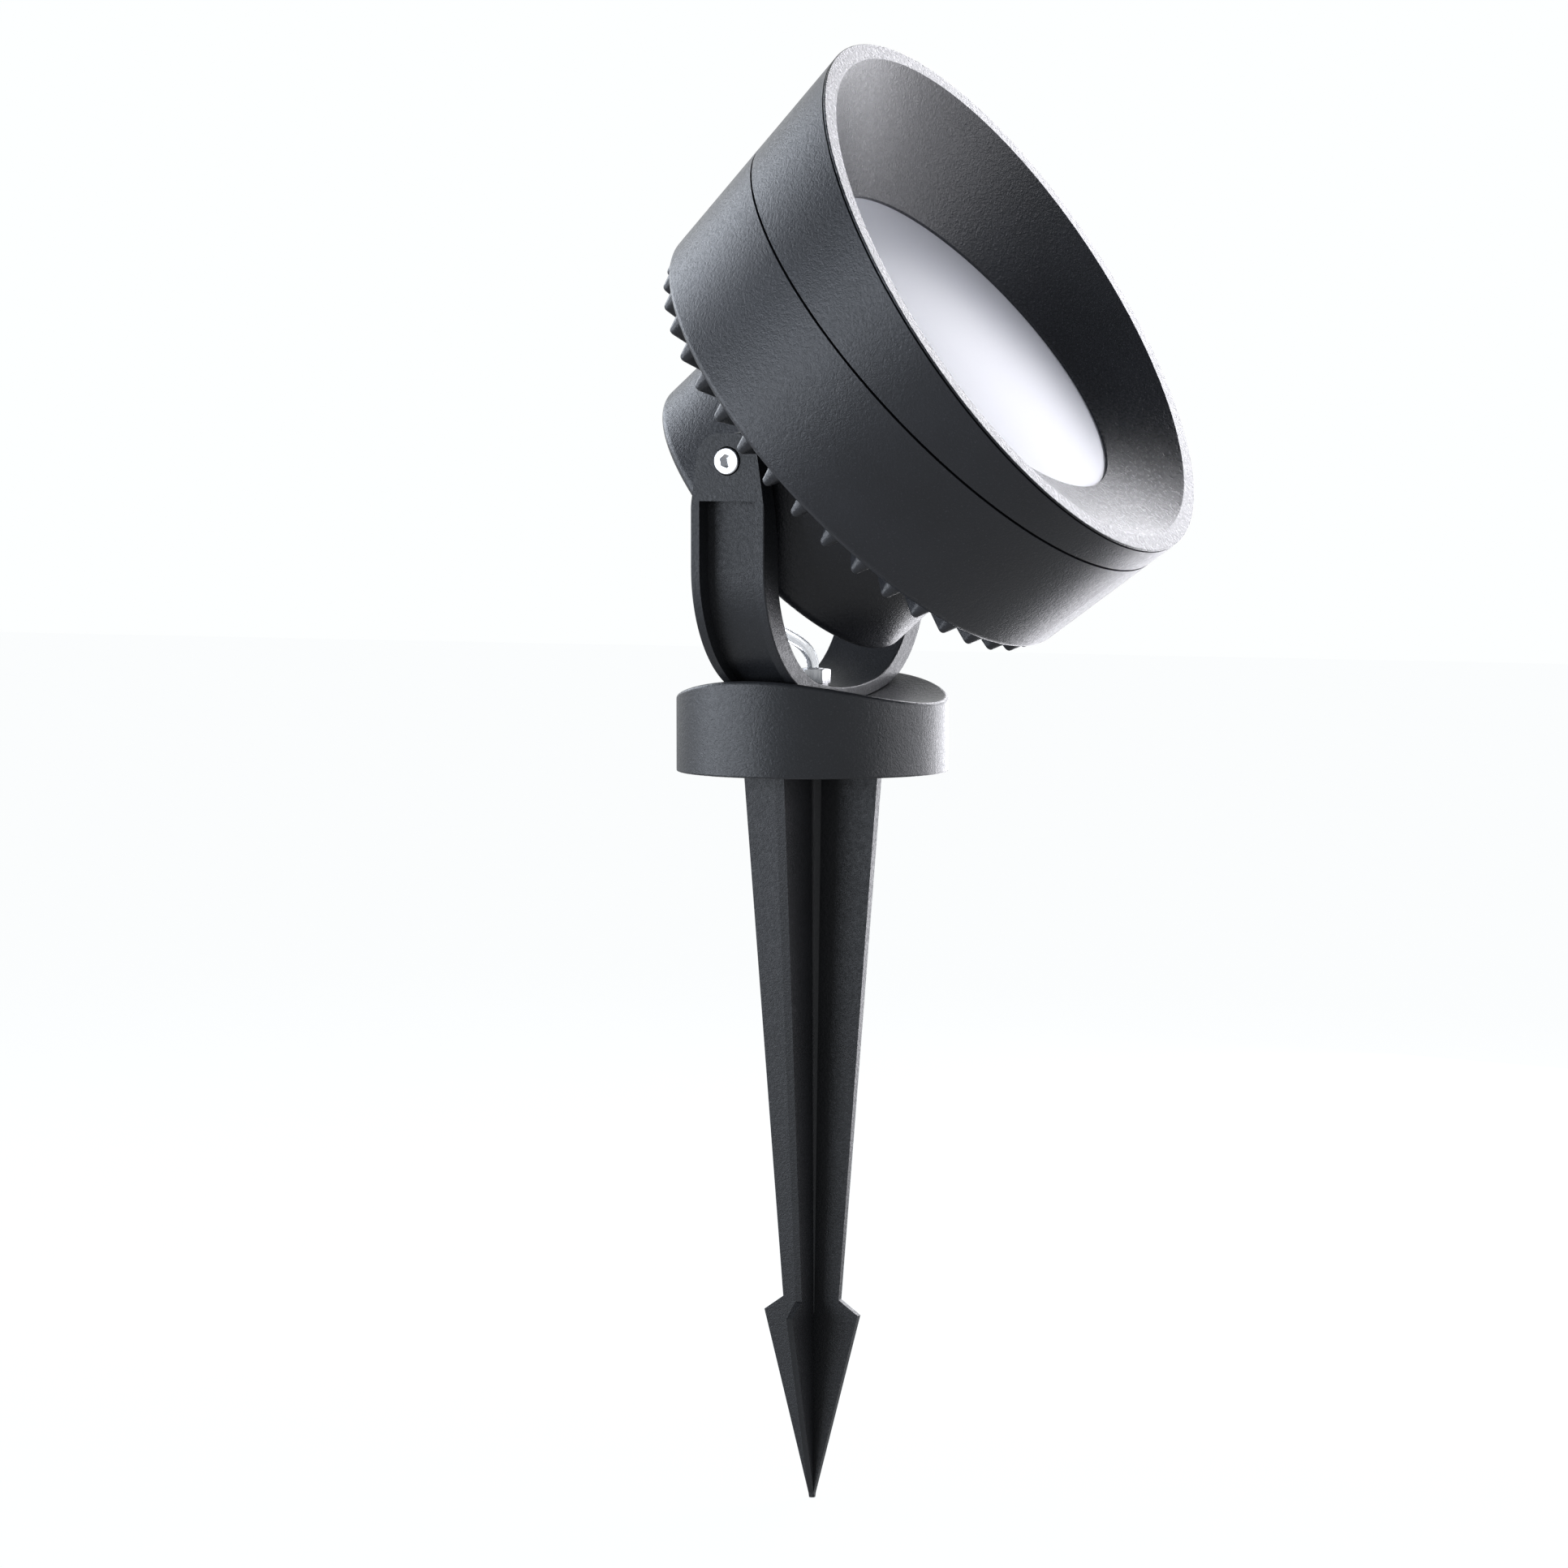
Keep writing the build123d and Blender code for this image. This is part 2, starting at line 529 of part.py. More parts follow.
def make_yoke():
    """The U-shaped bracket with sunk panels on the outside of its arms."""
    top = ARM_TIP + EMBED
    outer_face = basket_face(YOKE_HALF, YOKE_BOTTOM, TROUGH_RADIUS - SEAT_GAP, YOKE_OUTER_CORNER, top)
    inner_radius = TROUGH_RADIUS - SEAT_GAP - YOKE_FOOT
    inner_face = basket_face(YOKE_INSIDE_HALF, YOKE_FLOOR, inner_radius, YOKE_INNER_CORNER, top + EMBED)
    web_face = basket_face(
        YOKE_INSIDE_HALF + WEB_THICKNESS, YOKE_FLOOR - WEB_THICKNESS, inner_radius + WEB_THICKNESS,
        YOKE_INNER_CORNER + WEB_THICKNESS, top + EMBED)
    body = extrude(outer_face, YOKE_WIDTH / 2, both=True)
    body -= extrude(inner_face, YOKE_WIDTH, both=True)

    half = YOKE_WIDTH / 2
    side_view = [(half, 0), (half, ARM_TAPER_START), (ARM_TOP_HALF, ARM_TIP)]
    side_view += [(-width, height) for width, height in reversed(side_view)]
    outline = make_face(Polyline(*side_view, close=True))
    outline = fillet(outline.vertices().sort_by(Axis.Y)[-2:], ARM_CORNER)
    body = body & extrude(Plane.XZ * outline, YOKE_HALF * 2, both=True)

    panel_half = YOKE_WIDTH / 2 - PANEL_LIP
    panel = Box(panel_half * 2, YOKE_HALF * 4, PIVOT_HEIGHT - PANEL_DROP,
                align=(Align.CENTER, Align.CENTER, Align.MIN))
    panel -= extrude(web_face, YOKE_WIDTH, both=True)
    panel -= Box(YOKE_WIDTH * 2, PANEL_FOOT * 2, PIVOT_HEIGHT * 4)
    body -= panel

    body -= rod(SPOT_FACE_RADIUS, YOKE_FLOOR, NUT_TOP)
    body -= rod(STUD_RADIUS + FIT, 0, NUT_TOP)
    pivot = Pos(0, 0, PIVOT_HEIGHT) * Rot(90, 0, 0)
    body -= pivot * Cylinder(PIVOT_RADIUS + FIT, YOKE_HALF * 3)
    for side in (1, -1):
        sink = Cylinder(PIVOT_HEAD_RADIUS + LOOSE, YOKE_HALF, align=(Align.CENTER, Align.CENTER, Align.MIN))
        body -= Pos(0, side * PIVOT_SEAT, PIVOT_HEIGHT) * Rot(-90 * side, 0, 0) * sink
    sides = body.faces().filter_by(Axis.X)
    outer_sides = [face for face in sides if abs(abs(face.center().X) - half) < FIT]
    long_edges = [edge for face in outer_sides for edge in face.outer_wire().edges()]
    body = fillet(long_edges, YOKE_EDGE)
    for side in (1, -1):
        for turn in (0, 180):
            body -= Rot(0, 0, turn) * relief_wedge(side)
    return body


def relief_wedge(side):
    """What is cut off an inner edge of an arm, wider towards the arm's tip."""
    half = YOKE_WIDTH / 2
    grow = RELIEF_AT_PIVOT / RELIEF_START
    top = ARM_TIP + ARM_TOP
    sections = []
    for height in (PIVOT_HEIGHT - RELIEF_START, top):
        cut = EMBED + grow * (height - PIVOT_HEIGHT + RELIEF_START)
        near = side * (YOKE_INSIDE_HALF - EMBED)
        far = side * (YOKE_INSIDE_HALF - EMBED + cut)
        corners = [(half + EMBED, near), (half + EMBED, far), (half + EMBED - cut, near)]
        sections.append(Pos(0, 0, height) * make_face(Polyline(*corners, close=True)))
    return loft(sections, ruled=True)


# ---------------------------------------------------------------- head, in its own frame
def make_rear_housing():
    """Finned rear half of the lamp body, with the seat for the light source."""
    wall_end = SPIGOT_END - MOUTH_DEPTH
    ledge = SPIGOT_RADIUS - SPIGOT_WALL
    body = spun([
        (PEDESTAL_INSIDE, REAR_STATION), (shell_radius(REAR_STATION), REAR_STATION),
        (SEAM_RADIUS, SEAM_STATION), (SPIGOT_RADIUS + FIT, SEAM_STATION),
        (SPIGOT_RADIUS + FIT, SPIGOT_END), (ledge, SPIGOT_END), (ledge, SPIGOT_END - SPIGOT_WALL),
        (shell_radius(wall_end) - REAR_WALL, wall_end),
        (shell_radius(PLATE_FRONT) - REAR_WALL, PLATE_FRONT), (PEDESTAL_RADIUS, PLATE_FRONT),
        (PEDESTAL_RADIUS, PEDESTAL_STATION), (0, PEDESTAL_STATION), (0, PEDESTAL_UNDERSIDE),
        (PEDESTAL_INSIDE, PEDESTAL_UNDERSIDE)])
    rear_circles = body.edges().filter_by(GeomType.CIRCLE).filter_by(
        lambda edge: abs(edge.center().Z - REAR_STATION) < FIT)
    body = fillet(rear_circles.sort_by(SortBy.LENGTH)[-1], REAR_EDGE)
    length = FIN_REACH - FIN_ROOT_RADIUS
    spread = FIN_SLOPE * FIN_SINK * 2
    foot = SlotOverall(length + spread, FIN_WIDTH + spread)
    fin = extrude(foot, FIN_HEIGHT + FIN_SINK, taper=degrees(atan(FIN_SLOPE)))
    fin = fillet(fin.faces().sort_by(Axis.Z)[-1].edges(), FIN_CREST / 2 - RUN)
    fin = Pos(FIN_ROOT_RADIUS + length / 2, 0, REAR_STATION + FIN_SINK) * Rot(180, 0, 0) * fin
    body += [Rot(0, 0, 360 * index / FIN_COUNT) * fin for index in range(FIN_COUNT)]
    for x, y in cup_screw_places():
        body -= rod(CUP_SCREW_RADIUS + FIT, 0, PEDESTAL_STATION, x, y)
    for x, y in around(BOARD_SCREW_COUNT, BOARD_SCREW_CIRCLE):
        depth = PEDESTAL_STATION - BOARD_SCREW_GRIP - EMBED
        body -= rod(SMALL_SCREW_RADIUS + FIT, depth, BOARD_STATION, x, y)
    for y in core_hole_places():
        body -= rod(CORE_RADIUS + LOOSE, 0, BOARD_STATION, 0, y)
    return body


def cup_screw_places():
    """Places of the screws that hold the driver cup to the rear plate."""
    return around(CUP_SCREW_COUNT, CUP_SCREW_REACH, 45)


def core_hole_places():
    """Where the two wires of the light source pass the pedestal, as Y values."""
    spread = (DRIVER_WIDTH / 2 + PEDESTAL_INSIDE) / 2
    return (spread, -spread)


def make_front_ring():
    """Conical front shell with the web that carries glass and baffle, and its spigot."""
    far = RIM_STATION + SEAM_RADIUS
    body = spun([
        (shell_radius(RING_STATION), RING_STATION), (shell_radius(far), far),
        (shell_radius(far) - SHELL_WALL, far), (shell_radius(WEB_FRONT) - SHELL_WALL, WEB_FRONT),
        (GLASS_RADIUS + LOOSE, WEB_FRONT), (GLASS_RADIUS + LOOSE, GLASS_SEAT),
        (LIGHT_RADIUS, GLASS_SEAT), (LIGHT_RADIUS, WEB_REAR),
        (SPIGOT_RADIUS - SPIGOT_WALL, WEB_REAR), (SPIGOT_RADIUS - SPIGOT_WALL, SPIGOT_END),
        (SPIGOT_RADIUS, SPIGOT_END), (SPIGOT_RADIUS, RING_STATION)])
    body = split(body, bisect_by=rim_plane(RIM_LIP + RIM_GAP), keep=Keep.BOTTOM)
    for x, y in around(BAFFLE_SCREW_COUNT, BAFFLE_SCREW_CIRCLE, 45):
        body -= rod(SMALL_SCREW_RADIUS + FIT, 0, WEB_FRONT + EMBED, x, y)
        body -= rod(SMALL_SCREW_HEAD + LOOSE, 0, WEB_REAR + SMALL_SCREW_HEAD_HEIGHT, x, y)
    return body


def recess_block(back=0.0):
    """The funnel from the slanted rim down to the round opening, or one set further back."""
    inner = shell_radius(0) - RIM_FACE
    reach = inner + DRAFT_SLOPE * RIM_STATION
    high = reach / (1 - DRAFT_SLOPE * SLANT_SLOPE)
    low = reach / (1 + DRAFT_SLOPE * SLANT_SLOPE)
    centre = (high - low) / 2
    station = RIM_STATION + SLANT_SLOPE * centre
    long_radius = (high + low) / 2 * hypot(1, SLANT_SLOPE)
    short_radius = sqrt((inner + DRAFT_SLOPE * station) ** 2 - centre ** 2)
    wide_plane = Plane(origin=(-centre, 0, station - back), x_dir=(-1, 0, SLANT_SLOPE),
                       z_dir=(SLANT_SLOPE, 0, 1))
    wide = wide_plane * Ellipse(long_radius, short_radius)
    round_plane = Plane(origin=(0, 0, OPENING_STATION - back), x_dir=(-1, 0, 0), z_dir=(0, 0, 1))
    return loft([round_plane * Circle(OPENING_RADIUS), wide], ruled=True)


def make_baffle():
    """Deep anti-glare funnel with the bright rim face, screwed into the front ring."""
    far = RIM_STATION + SEAM_RADIUS
    skirt = SHELL_WALL + LOOSE
    body = spun([
        (OPENING_RADIUS, WEB_FRONT), (shell_radius(WEB_FRONT) - skirt, WEB_FRONT),
        (shell_radius(far) - skirt, far), (OPENING_RADIUS, far)])
    body = split(body, bisect_by=rim_plane(), keep=Keep.BOTTOM)
    lip = spun([(0, WEB_FRONT), (shell_radius(WEB_FRONT), WEB_FRONT), (shell_radius(far), far), (0, far)])
    lip = split(lip, bisect_by=rim_plane(), keep=Keep.BOTTOM)
    lip = split(lip, bisect_by=rim_plane(RIM_LIP), keep=Keep.TOP)
    lip = lip - rod(COLLAR_RADIUS, 0, far)
    hollow = spun([
        (COLLAR_RADIUS, WEB_FRONT - EMBED),
        (shell_radius(WEB_FRONT) - skirt - BAFFLE_SKIRT, WEB_FRONT - EMBED),
        (shell_radius(far) - skirt - BAFFLE_SKIRT, far), (COLLAR_RADIUS, far)])
    hollow = split(hollow, bisect_by=rim_plane(RIM_LIP + RIM_GAP + BAFFLE_WALL), keep=Keep.BOTTOM)
    body = body - (hollow - recess_block(BAFFLE_WALL)) + lip
    for x, y in around(BAFFLE_SCREW_COUNT, BAFFLE_SCREW_CIRCLE, 45):
        boss = rod(BAFFLE_BOSS_RADIUS, WEB_FRONT, far, x, y)
        body += split(boss, bisect_by=rim_plane(RIM_LIP), keep=Keep.BOTTOM)
    body = body - recess_block()
    body -= rod(GLASS_RADIUS + LOOSE, WEB_FRONT - EMBED, GLASS_FRONT)
    for x, y in around(BAFFLE_SCREW_COUNT, BAFFLE_SCREW_CIRCLE, 45):
        body -= rod(SMALL_SCREW_RADIUS + FIT, 0, WEB_FRONT + BAFFLE_SCREW_REACH, x, y)
    plane = rim_plane()
    marks = (0, 0.3, 0.6, 0.9)
    rim_edges = [edge for edge in body.edges()
                 if all(abs(plane.to_local_coords(edge @ mark).Z) < FIT for mark in marks)]
    return fillet(rim_edges, RIM_EDGE)


def make_baffle_screw():
    """Small screw from behind the web into the baffle."""
    length = WEB_FRONT - WEB_REAR - SMALL_SCREW_HEAD_HEIGHT + BAFFLE_SCREW_REACH
    body = screw(SMALL_SCREW_RADIUS, SMALL_SCREW_HEAD, SMALL_SCREW_HEAD_HEIGHT, length - EMBED,
                 SMALL_SCREW_FLATS, SMALL_SCREW_HEAD_HEIGHT / 2)
    return Pos(0, 0, WEB_REAR + SMALL_SCREW_HEAD_HEIGHT) * Rot(180, 0, 0) * body


def make_body_seal():
    """Rubber ring in the seam between the two halves of the lamp body."""
    inner = SPIGOT_RADIUS + LOOSE
    return ring(inner + BODY_SEAL_WIDTH, inner, SEAM_STATION, RING_STATION)


def make_glass():
    """Frosted front glass, domed inside the opening."""
    return rod(GLASS_RADIUS, GLASS_REAR, GLASS_FRONT) + dome(DOME_RADIUS, DOME_RISE, GLASS_FRONT)


def make_glass_seal():
    """Silicone ring behind the glass."""
    return ring(GLASS_RADIUS, LIGHT_RADIUS, GLASS_SEAT, GLASS_REAR)


def make_reflector():
    """Spun bowl from the light source to the web."""
    rim_rear = WEB_REAR - REFLECTOR_WALL
    throat = BOARD_FRONT + LOOSE
    middle_radius = (REFLECTOR_THROAT + REFLECTOR_MOUTH) / 2 + REFLECTOR_BULGE
    middle_station = (throat + rim_rear) / 2 - REFLECTOR_BULGE / 2

    def at(radius, station):
        return (radius, 0, station)

    outer = REFLECTOR_THROAT + REFLECTOR_WALL
    edges = [
        ThreePointArc(at(REFLECTOR_THROAT, throat), at(middle_radius, middle_station),
                      at(REFLECTOR_MOUTH, WEB_REAR)),
        Line(at(REFLECTOR_MOUTH, WEB_REAR), at(REFLECTOR_RIM_RADIUS, WEB_REAR)),
        Line(at(REFLECTOR_RIM_RADIUS, WEB_REAR), at(REFLECTOR_RIM_RADIUS, rim_rear)),
        Line(at(REFLECTOR_RIM_RADIUS, rim_rear), at(REFLECTOR_MOUTH + REFLECTOR_WALL, rim_rear)),
        ThreePointArc(at(REFLECTOR_MOUTH + REFLECTOR_WALL, rim_rear),
                      at(middle_radius + REFLECTOR_WALL, middle_station - REFLECTOR_WALL),
                      at(outer, throat)),
        Line(at(outer, throat), at(REFLECTOR_THROAT, throat))]
    return revolve(make_face(edges), Axis.Z)


def make_thermal_pad():
    """Heat-conducting sheet under the board."""
    body = rod(PAD_RADIUS, PEDESTAL_STATION, BOARD_STATION)
    return bored_board(body)


def make_led_board():
    """Round metal board of the light source."""
    body = rod(BOARD_RADIUS, BOARD_STATION, BOARD_FRONT)
    return bored_board(body)


def bored_board(body):
    """Cut the screw and wire holes that board and pad share."""
    for x, y in around(BOARD_SCREW_COUNT, BOARD_SCREW_CIRCLE):
        body -= rod(SMALL_SCREW_RADIUS + LOOSE / 2, 0, BOARD_FRONT + EMBED, x, y)
    for y in core_hole_places():
        body -= rod(CORE_RADIUS + LOOSE, 0, BOARD_FRONT + EMBED, 0, y)
    return body


def make_emitter():
    """Light-emitting chip with its low dome."""
    top = BOARD_FRONT + EMITTER_BASE
    return rod(EMITTER_RADIUS, BOARD_FRONT, top) + dome(EMITTER_DOME_RADIUS, EMITTER_DOME, top)


def make_board_screw():
    """Screw that holds the board to the pedestal."""
    length = BOARD_FRONT - PEDESTAL_STATION + BOARD_SCREW_GRIP
    body = screw(SMALL_SCREW_RADIUS, SMALL_SCREW_HEAD, BOARD_SCREW_HEAD_HEIGHT, length,
                 SMALL_SCREW_FLATS, BOARD_SCREW_HEAD_HEIGHT / 2)
    return Pos(0, 0, BOARD_FRONT) * body


def make_driver_cup():
    """Nearly round housing behind the lamp body that holds the driver and the tilt screws."""
    body = Pos(0, 0, CUP_REAR) * extrude(Ellipse(CUP_RADIUS, CUP_FLAT_HALF), CUP_FRONT - CUP_REAR)
    body = fillet(body.faces().sort_by(Axis.Z)[0].edges(), CUP_EDGE)
    for side in (1, -1):
        body += side_rod(PIVOT_WASHER_RADIUS, CUP_FLAT_INSIDE, CUP_FLAT_HALF, side)
    inside = extrude(Ellipse(CUP_INSIDE, CUP_FLAT_INSIDE), CUP_FRONT - CUP_FLOOR + EMBED)
    body -= Pos(0, 0, CUP_FLOOR) * inside
    for x, y in cup_screw_places():
        body += rod(CUP_BOSS_RADIUS, CUP_FRONT - CUP_BOSS_LENGTH, CUP_FRONT, x, y)
        body -= rod(CUP_SCREW_RADIUS + FIT, CUP_FRONT - CUP_SCREW_GRIP - EMBED, CUP_FRONT + EMBED, x, y)
    for side in (1, -1):
        body += side_rod(PIVOT_BOSS_RADIUS, CUP_FLAT_INSIDE - INSERT_LENGTH, CUP_FLAT_INSIDE + EMBED, side)
        body -= side_rod(INSERT_RADIUS + FIT, 0, CUP_FLAT_INSIDE, side)
        body -= side_rod(PIVOT_RADIUS + FIT, 0, YOKE_HALF, side)
    body -= rod(GLAND_RADIUS + FIT, CUP_REAR - EMBED, CUP_FLOOR + EMBED)
    return body


def side_rod(radius, low, high, side):
    """A cylinder on the tilt axis, in the head's own frame, between two distances from its middle."""
    body = Cylinder(radius, high - low, align=(Align.CENTER, Align.CENTER, Align.MIN))
    return Pos(-AXIS_DROP, side * low, 0) * Rot(-90 * side, 0, 0) * body


def make_cup_seal():
    """Flat seal between the driver cup and the rear plate."""
    outer = Ellipse(CUP_RADIUS - RUN, CUP_FLAT_HALF - RUN)
    inner = Ellipse(CUP_INSIDE, CUP_FLAT_INSIDE)
    body = Pos(0, 0, CUP_SEAL_REAR) * extrude(outer - inner, CUP_SEAL)
    for x, y in cup_screw_places():
        body += rod(CUP_BOSS_RADIUS, CUP_SEAL_REAR, REAR_STATION, x, y)
        body -= rod(CUP_SCREW_RADIUS + LOOSE, 0, REAR_STATION + EMBED, x, y)
    return body


def make_cup_screw():
    """Screw from inside the lamp body into a boss of the driver cup."""
    length = PLATE_FRONT - CUP_FRONT + CUP_SCREW_GRIP
    body = screw(CUP_SCREW_RADIUS, CUP_SCREW_HEAD, CUP_SCREW_HEAD_HEIGHT, length,
                 CUP_SCREW_FLATS, CUP_SCREW_HEAD_HEIGHT / 2)
    return Pos(0, 0, PLATE_FRONT) * body


def make_driver_module():
    """Potted driver that sits in the hollow of the pedestal."""
    body = Pos(0, 0, DRIVER_REAR) * Box(
        DRIVER_LENGTH, DRIVER_WIDTH, DRIVER_HEIGHT, align=(Align.CENTER, Align.CENTER, Align.MIN))
    return fillet(body.edges().filter_by(Axis.Z), DRIVER_EDGE)


def make_pivot_screw(side):
    """Chrome socket screw that the arm turns on."""
    length = PIVOT_SEAT + RUN - (CUP_FLAT_INSIDE - INSERT_LENGTH) - EMBED
    body = screw(PIVOT_RADIUS, PIVOT_HEAD_RADIUS, PIVOT_HEAD_HEIGHT, length,
                 PIVOT_SOCKET_FLATS, PIVOT_SOCKET_DEPTH)
    rim = body.edges().filter_by(GeomType.CIRCLE).sort_by(Axis.Z)[-1]
    body = fillet(rim, PIVOT_HEAD_EDGE)
    place = Pos(-AXIS_DROP, side * (PIVOT_SEAT + RUN), 0) * Rot(-90 * side, 0, 0)
    return place * body


def make_pivot_washer(side):
    """Nylon disc between the cup's side boss and the arm."""
    outer = side_rod(PIVOT_WASHER_RADIUS, CUP_FLAT_HALF, CUP_FLAT_HALF + PIVOT_WASHER, side)
    return outer - side_rod(PIVOT_RADIUS + FIT, 0, YOKE_HALF, side)


def make_pivot_insert(side):
    """Brass threaded bush in the cup's boss."""
    outer = side_rod(INSERT_RADIUS, CUP_FLAT_INSIDE - INSERT_LENGTH, CUP_FLAT_INSIDE, side)
    return outer - side_rod(PIVOT_RADIUS + FIT, 0, YOKE_HALF, side)


def make_gland_body():
    """Cable gland in the middle of the cup's rear face: thread, collar and stem."""
    stem_end = CUP_REAR - GLAND_COLLAR - GLAND_STEM
    body = rod(GLAND_RADIUS, stem_end, GLAND_INNER_END)
    body += hexagon(GLAND_FLATS, CUP_REAR - GLAND_COLLAR, CUP_REAR)
    return body - rod(LEAD_RADIUS + LOOSE, stem_end - EMBED, 0)


def make_gland_cap():
    """Hexagonal cap nut that squeezes the seal onto the lead."""
    collar_end = CUP_REAR - GLAND_COLLAR
    body = hexagon(GLAND_FLATS - RUN, GLAND_TIP, collar_end)
    bevel = spun([(0, GLAND_TIP), (GLAND_RADIUS, GLAND_TIP), (GLAND_FLATS, collar_end), (0, collar_end)])
    body = body & bevel
    seal_end = collar_end - GLAND_STEM
    body -= rod(GLAND_RADIUS + FIT, seal_end, collar_end + EMBED)
    body -= rod(GLAND_SEAL_RADIUS + FIT, GLAND_TIP + GLAND_STEM / 2, collar_end)
    return body - rod(GLAND_MOUTH_RADIUS, GLAND_TIP - EMBED, collar_end)


def make_gland_seal():
    """Rubber sleeve inside the cap."""
    seal_end = CUP_REAR - GLAND_COLLAR - GLAND_STEM
    return ring(GLAND_SEAL_RADIUS, LEAD_RADIUS + FIT, GLAND_TIP + GLAND_STEM / 2, seal_end)


def make_gland_locknut():
    """Round nut on the gland's thread, inside the cup."""
    return ring(GLAND_LOCKNUT_RADIUS, GLAND_RADIUS + FIT, CUP_FLOOR, GLAND_INNER_END)


def make_led_wire(y_place):
    """Wire from the driver's side through the pedestal, soldered in the board."""
    driver_side = DRIVER_WIDTH / 2 if y_place > 0 else -DRIVER_WIDTH / 2
    low = PEDESTAL_UNDERSIDE - (PEDESTAL_INSIDE - DRIVER_WIDTH / 2) / 2
    points = [(0, driver_side, low), (0, y_place, low), (0, y_place, BOARD_FRONT + CORE_RADIUS / 2)]
    return tube_along(points, CORE_RADIUS)


def make_supply_core(x_place):
    """Insulated core from the end of the lead to the driver's rear face."""
    third = (DRIVER_REAR - LEAD_START) / 3
    points = [(x_place / 2, 0, LEAD_START), (x_place / 2, 0, LEAD_START + third)]
    points += [(x_place, CORE_SPREAD, DRIVER_REAR - third), (x_place, CORE_SPREAD, DRIVER_REAR)]
    return tube_along(points, CORE_RADIUS)


# ---------------------------------------------------------------- lead
def make_lead():
    """The lead from the driver cup's gland, through the hollow stud, to the terminal block."""
    inside = head_point(0, 0, LEAD_START)
    leaving = head_point(0, 0, GLAND_TIP - LEAD_STRAIGHT)
    points = [inside, leaving, (LEAD_BACK_X, 0, LEAD_BACK_HEIGHT), (LEAD_LOW_X, 0, LEAD_LOW_HEIGHT)]
    points += [(0, 0, LEAD_RISE_HEIGHT), (0, 0, TERMINAL_TOP)]
    return tube_along(points, LEAD_RADIUS)


# ---------------------------------------------------------------- all nodes
def stand_nodes():
    nodes = {
        "spike": make_spike(),
        "base_housing": make_base_housing(),
        "base_gasket": make_base_gasket(),
        "inlet_grommet": make_inlet_grommet(),
        "terminal_block": make_terminal_block(),
        "hollow_stud": make_hollow_stud(),
        "yoke": make_yoke(),
        "lock_washer": make_lock_washer(),
        "hex_nut": make_hex_nut(),
        "lead": make_lead()}
    for index, (x, y) in enumerate(around(BASE_SCREW_COUNT, BASE_SCREW_CIRCLE, 45), 1):
        nodes[f"base_screw_{index}"] = Pos(x, y, 0) * make_base_screw()
    for index, (x, y) in enumerate(terminal_places(), 1):
        nodes[f"terminal_screw_{index}"] = Pos(x, y, 0) * make_terminal_screw()
    return nodes


def head_nodes():
    nodes = {
        "rear_housing": make_rear_housing(),
        "front_ring": make_front_ring(),
        "baffle": make_baffle(),
        "body_seal": make_body_seal(),
        "glass": make_glass(),
        "glass_seal": make_glass_seal(),
        "reflector": make_reflector(),
        "thermal_pad": make_thermal_pad(),
        "led_board": make_led_board(),
        "emitter": make_emitter(),
        "driver_cup": make_driver_cup(),
        "cup_seal": make_cup_seal(),
        "driver_module": make_driver_module(),
        "gland_body": make_gland_body(),
        "gland_cap": make_gland_cap(),
        "gland_seal": make_gland_seal(),
        "gland_locknut": make_gland_locknut()}
    for side, name in ((-1, "near"), (1, "far")):
        nodes[f"pivot_screw_{name}"] = make_pivot_screw(side)
        nodes[f"pivot_washer_{name}"] = make_pivot_washer(side)
        nodes[f"pivot_insert_{name}"] = make_pivot_insert(side)
    for index, (x, y) in enumerate(cup_screw_places(), 1):
        nodes[f"cup_screw_{index}"] = Pos(x, y, 0) * make_cup_screw()
    for index, (x, y) in enumerate(around(BAFFLE_SCREW_COUNT, BAFFLE_SCREW_CIRCLE, 45), 1):
        nodes[f"baffle_screw_{index}"] = Pos(x, y, 0) * make_baffle_screw()
    for index, (x, y) in enumerate(around(BOARD_SCREW_COUNT, BOARD_SCREW_CIRCLE), 1):
        nodes[f"board_screw_{index}"] = Pos(x, y, 0) * make_board_screw()
    for index, y in enumerate(core_hole_places(), 1):
        nodes[f"led_wire_{index}"] = make_led_wire(y)
    for index, x in enumerate((CORE_SPREAD, -CORE_SPREAD), 1):
        nodes[f"supply_core_{index}"] = make_supply_core(x)
    return {name: HEAD.location * shape for name, shape in nodes.items()}


os.makedirs("parts", exist_ok=True)
for node, shape in {**stand_nodes(), **head_nodes()}.items():
    export_step(shape, f"parts/{node}.step")
print("pivot at", (0, 0, PIVOT_HEIGHT), "top of base rim", round(TROUGH_AXIS_HEIGHT - sqrt(
    TROUGH_RADIUS ** 2 - BASE_RADIUS ** 2), 3))
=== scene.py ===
import json
import math

import bmesh
import bpy
from mathutils import Matrix, Vector


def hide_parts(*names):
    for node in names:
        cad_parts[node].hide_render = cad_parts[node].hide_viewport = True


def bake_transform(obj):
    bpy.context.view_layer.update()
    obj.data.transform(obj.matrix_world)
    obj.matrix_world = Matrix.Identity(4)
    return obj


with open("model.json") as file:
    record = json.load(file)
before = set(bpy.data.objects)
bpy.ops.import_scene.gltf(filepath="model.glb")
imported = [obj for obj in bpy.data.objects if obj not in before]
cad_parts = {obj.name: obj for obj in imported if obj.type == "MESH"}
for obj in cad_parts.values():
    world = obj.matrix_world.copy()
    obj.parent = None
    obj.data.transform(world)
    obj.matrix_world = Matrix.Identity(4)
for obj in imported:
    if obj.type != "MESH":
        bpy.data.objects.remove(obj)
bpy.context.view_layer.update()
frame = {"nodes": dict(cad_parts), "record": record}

# Looks of the garden spike spotlight. Lengths are in metres, unless a comment says otherwise.
nodes = frame["nodes"]
scene = bpy.context.scene

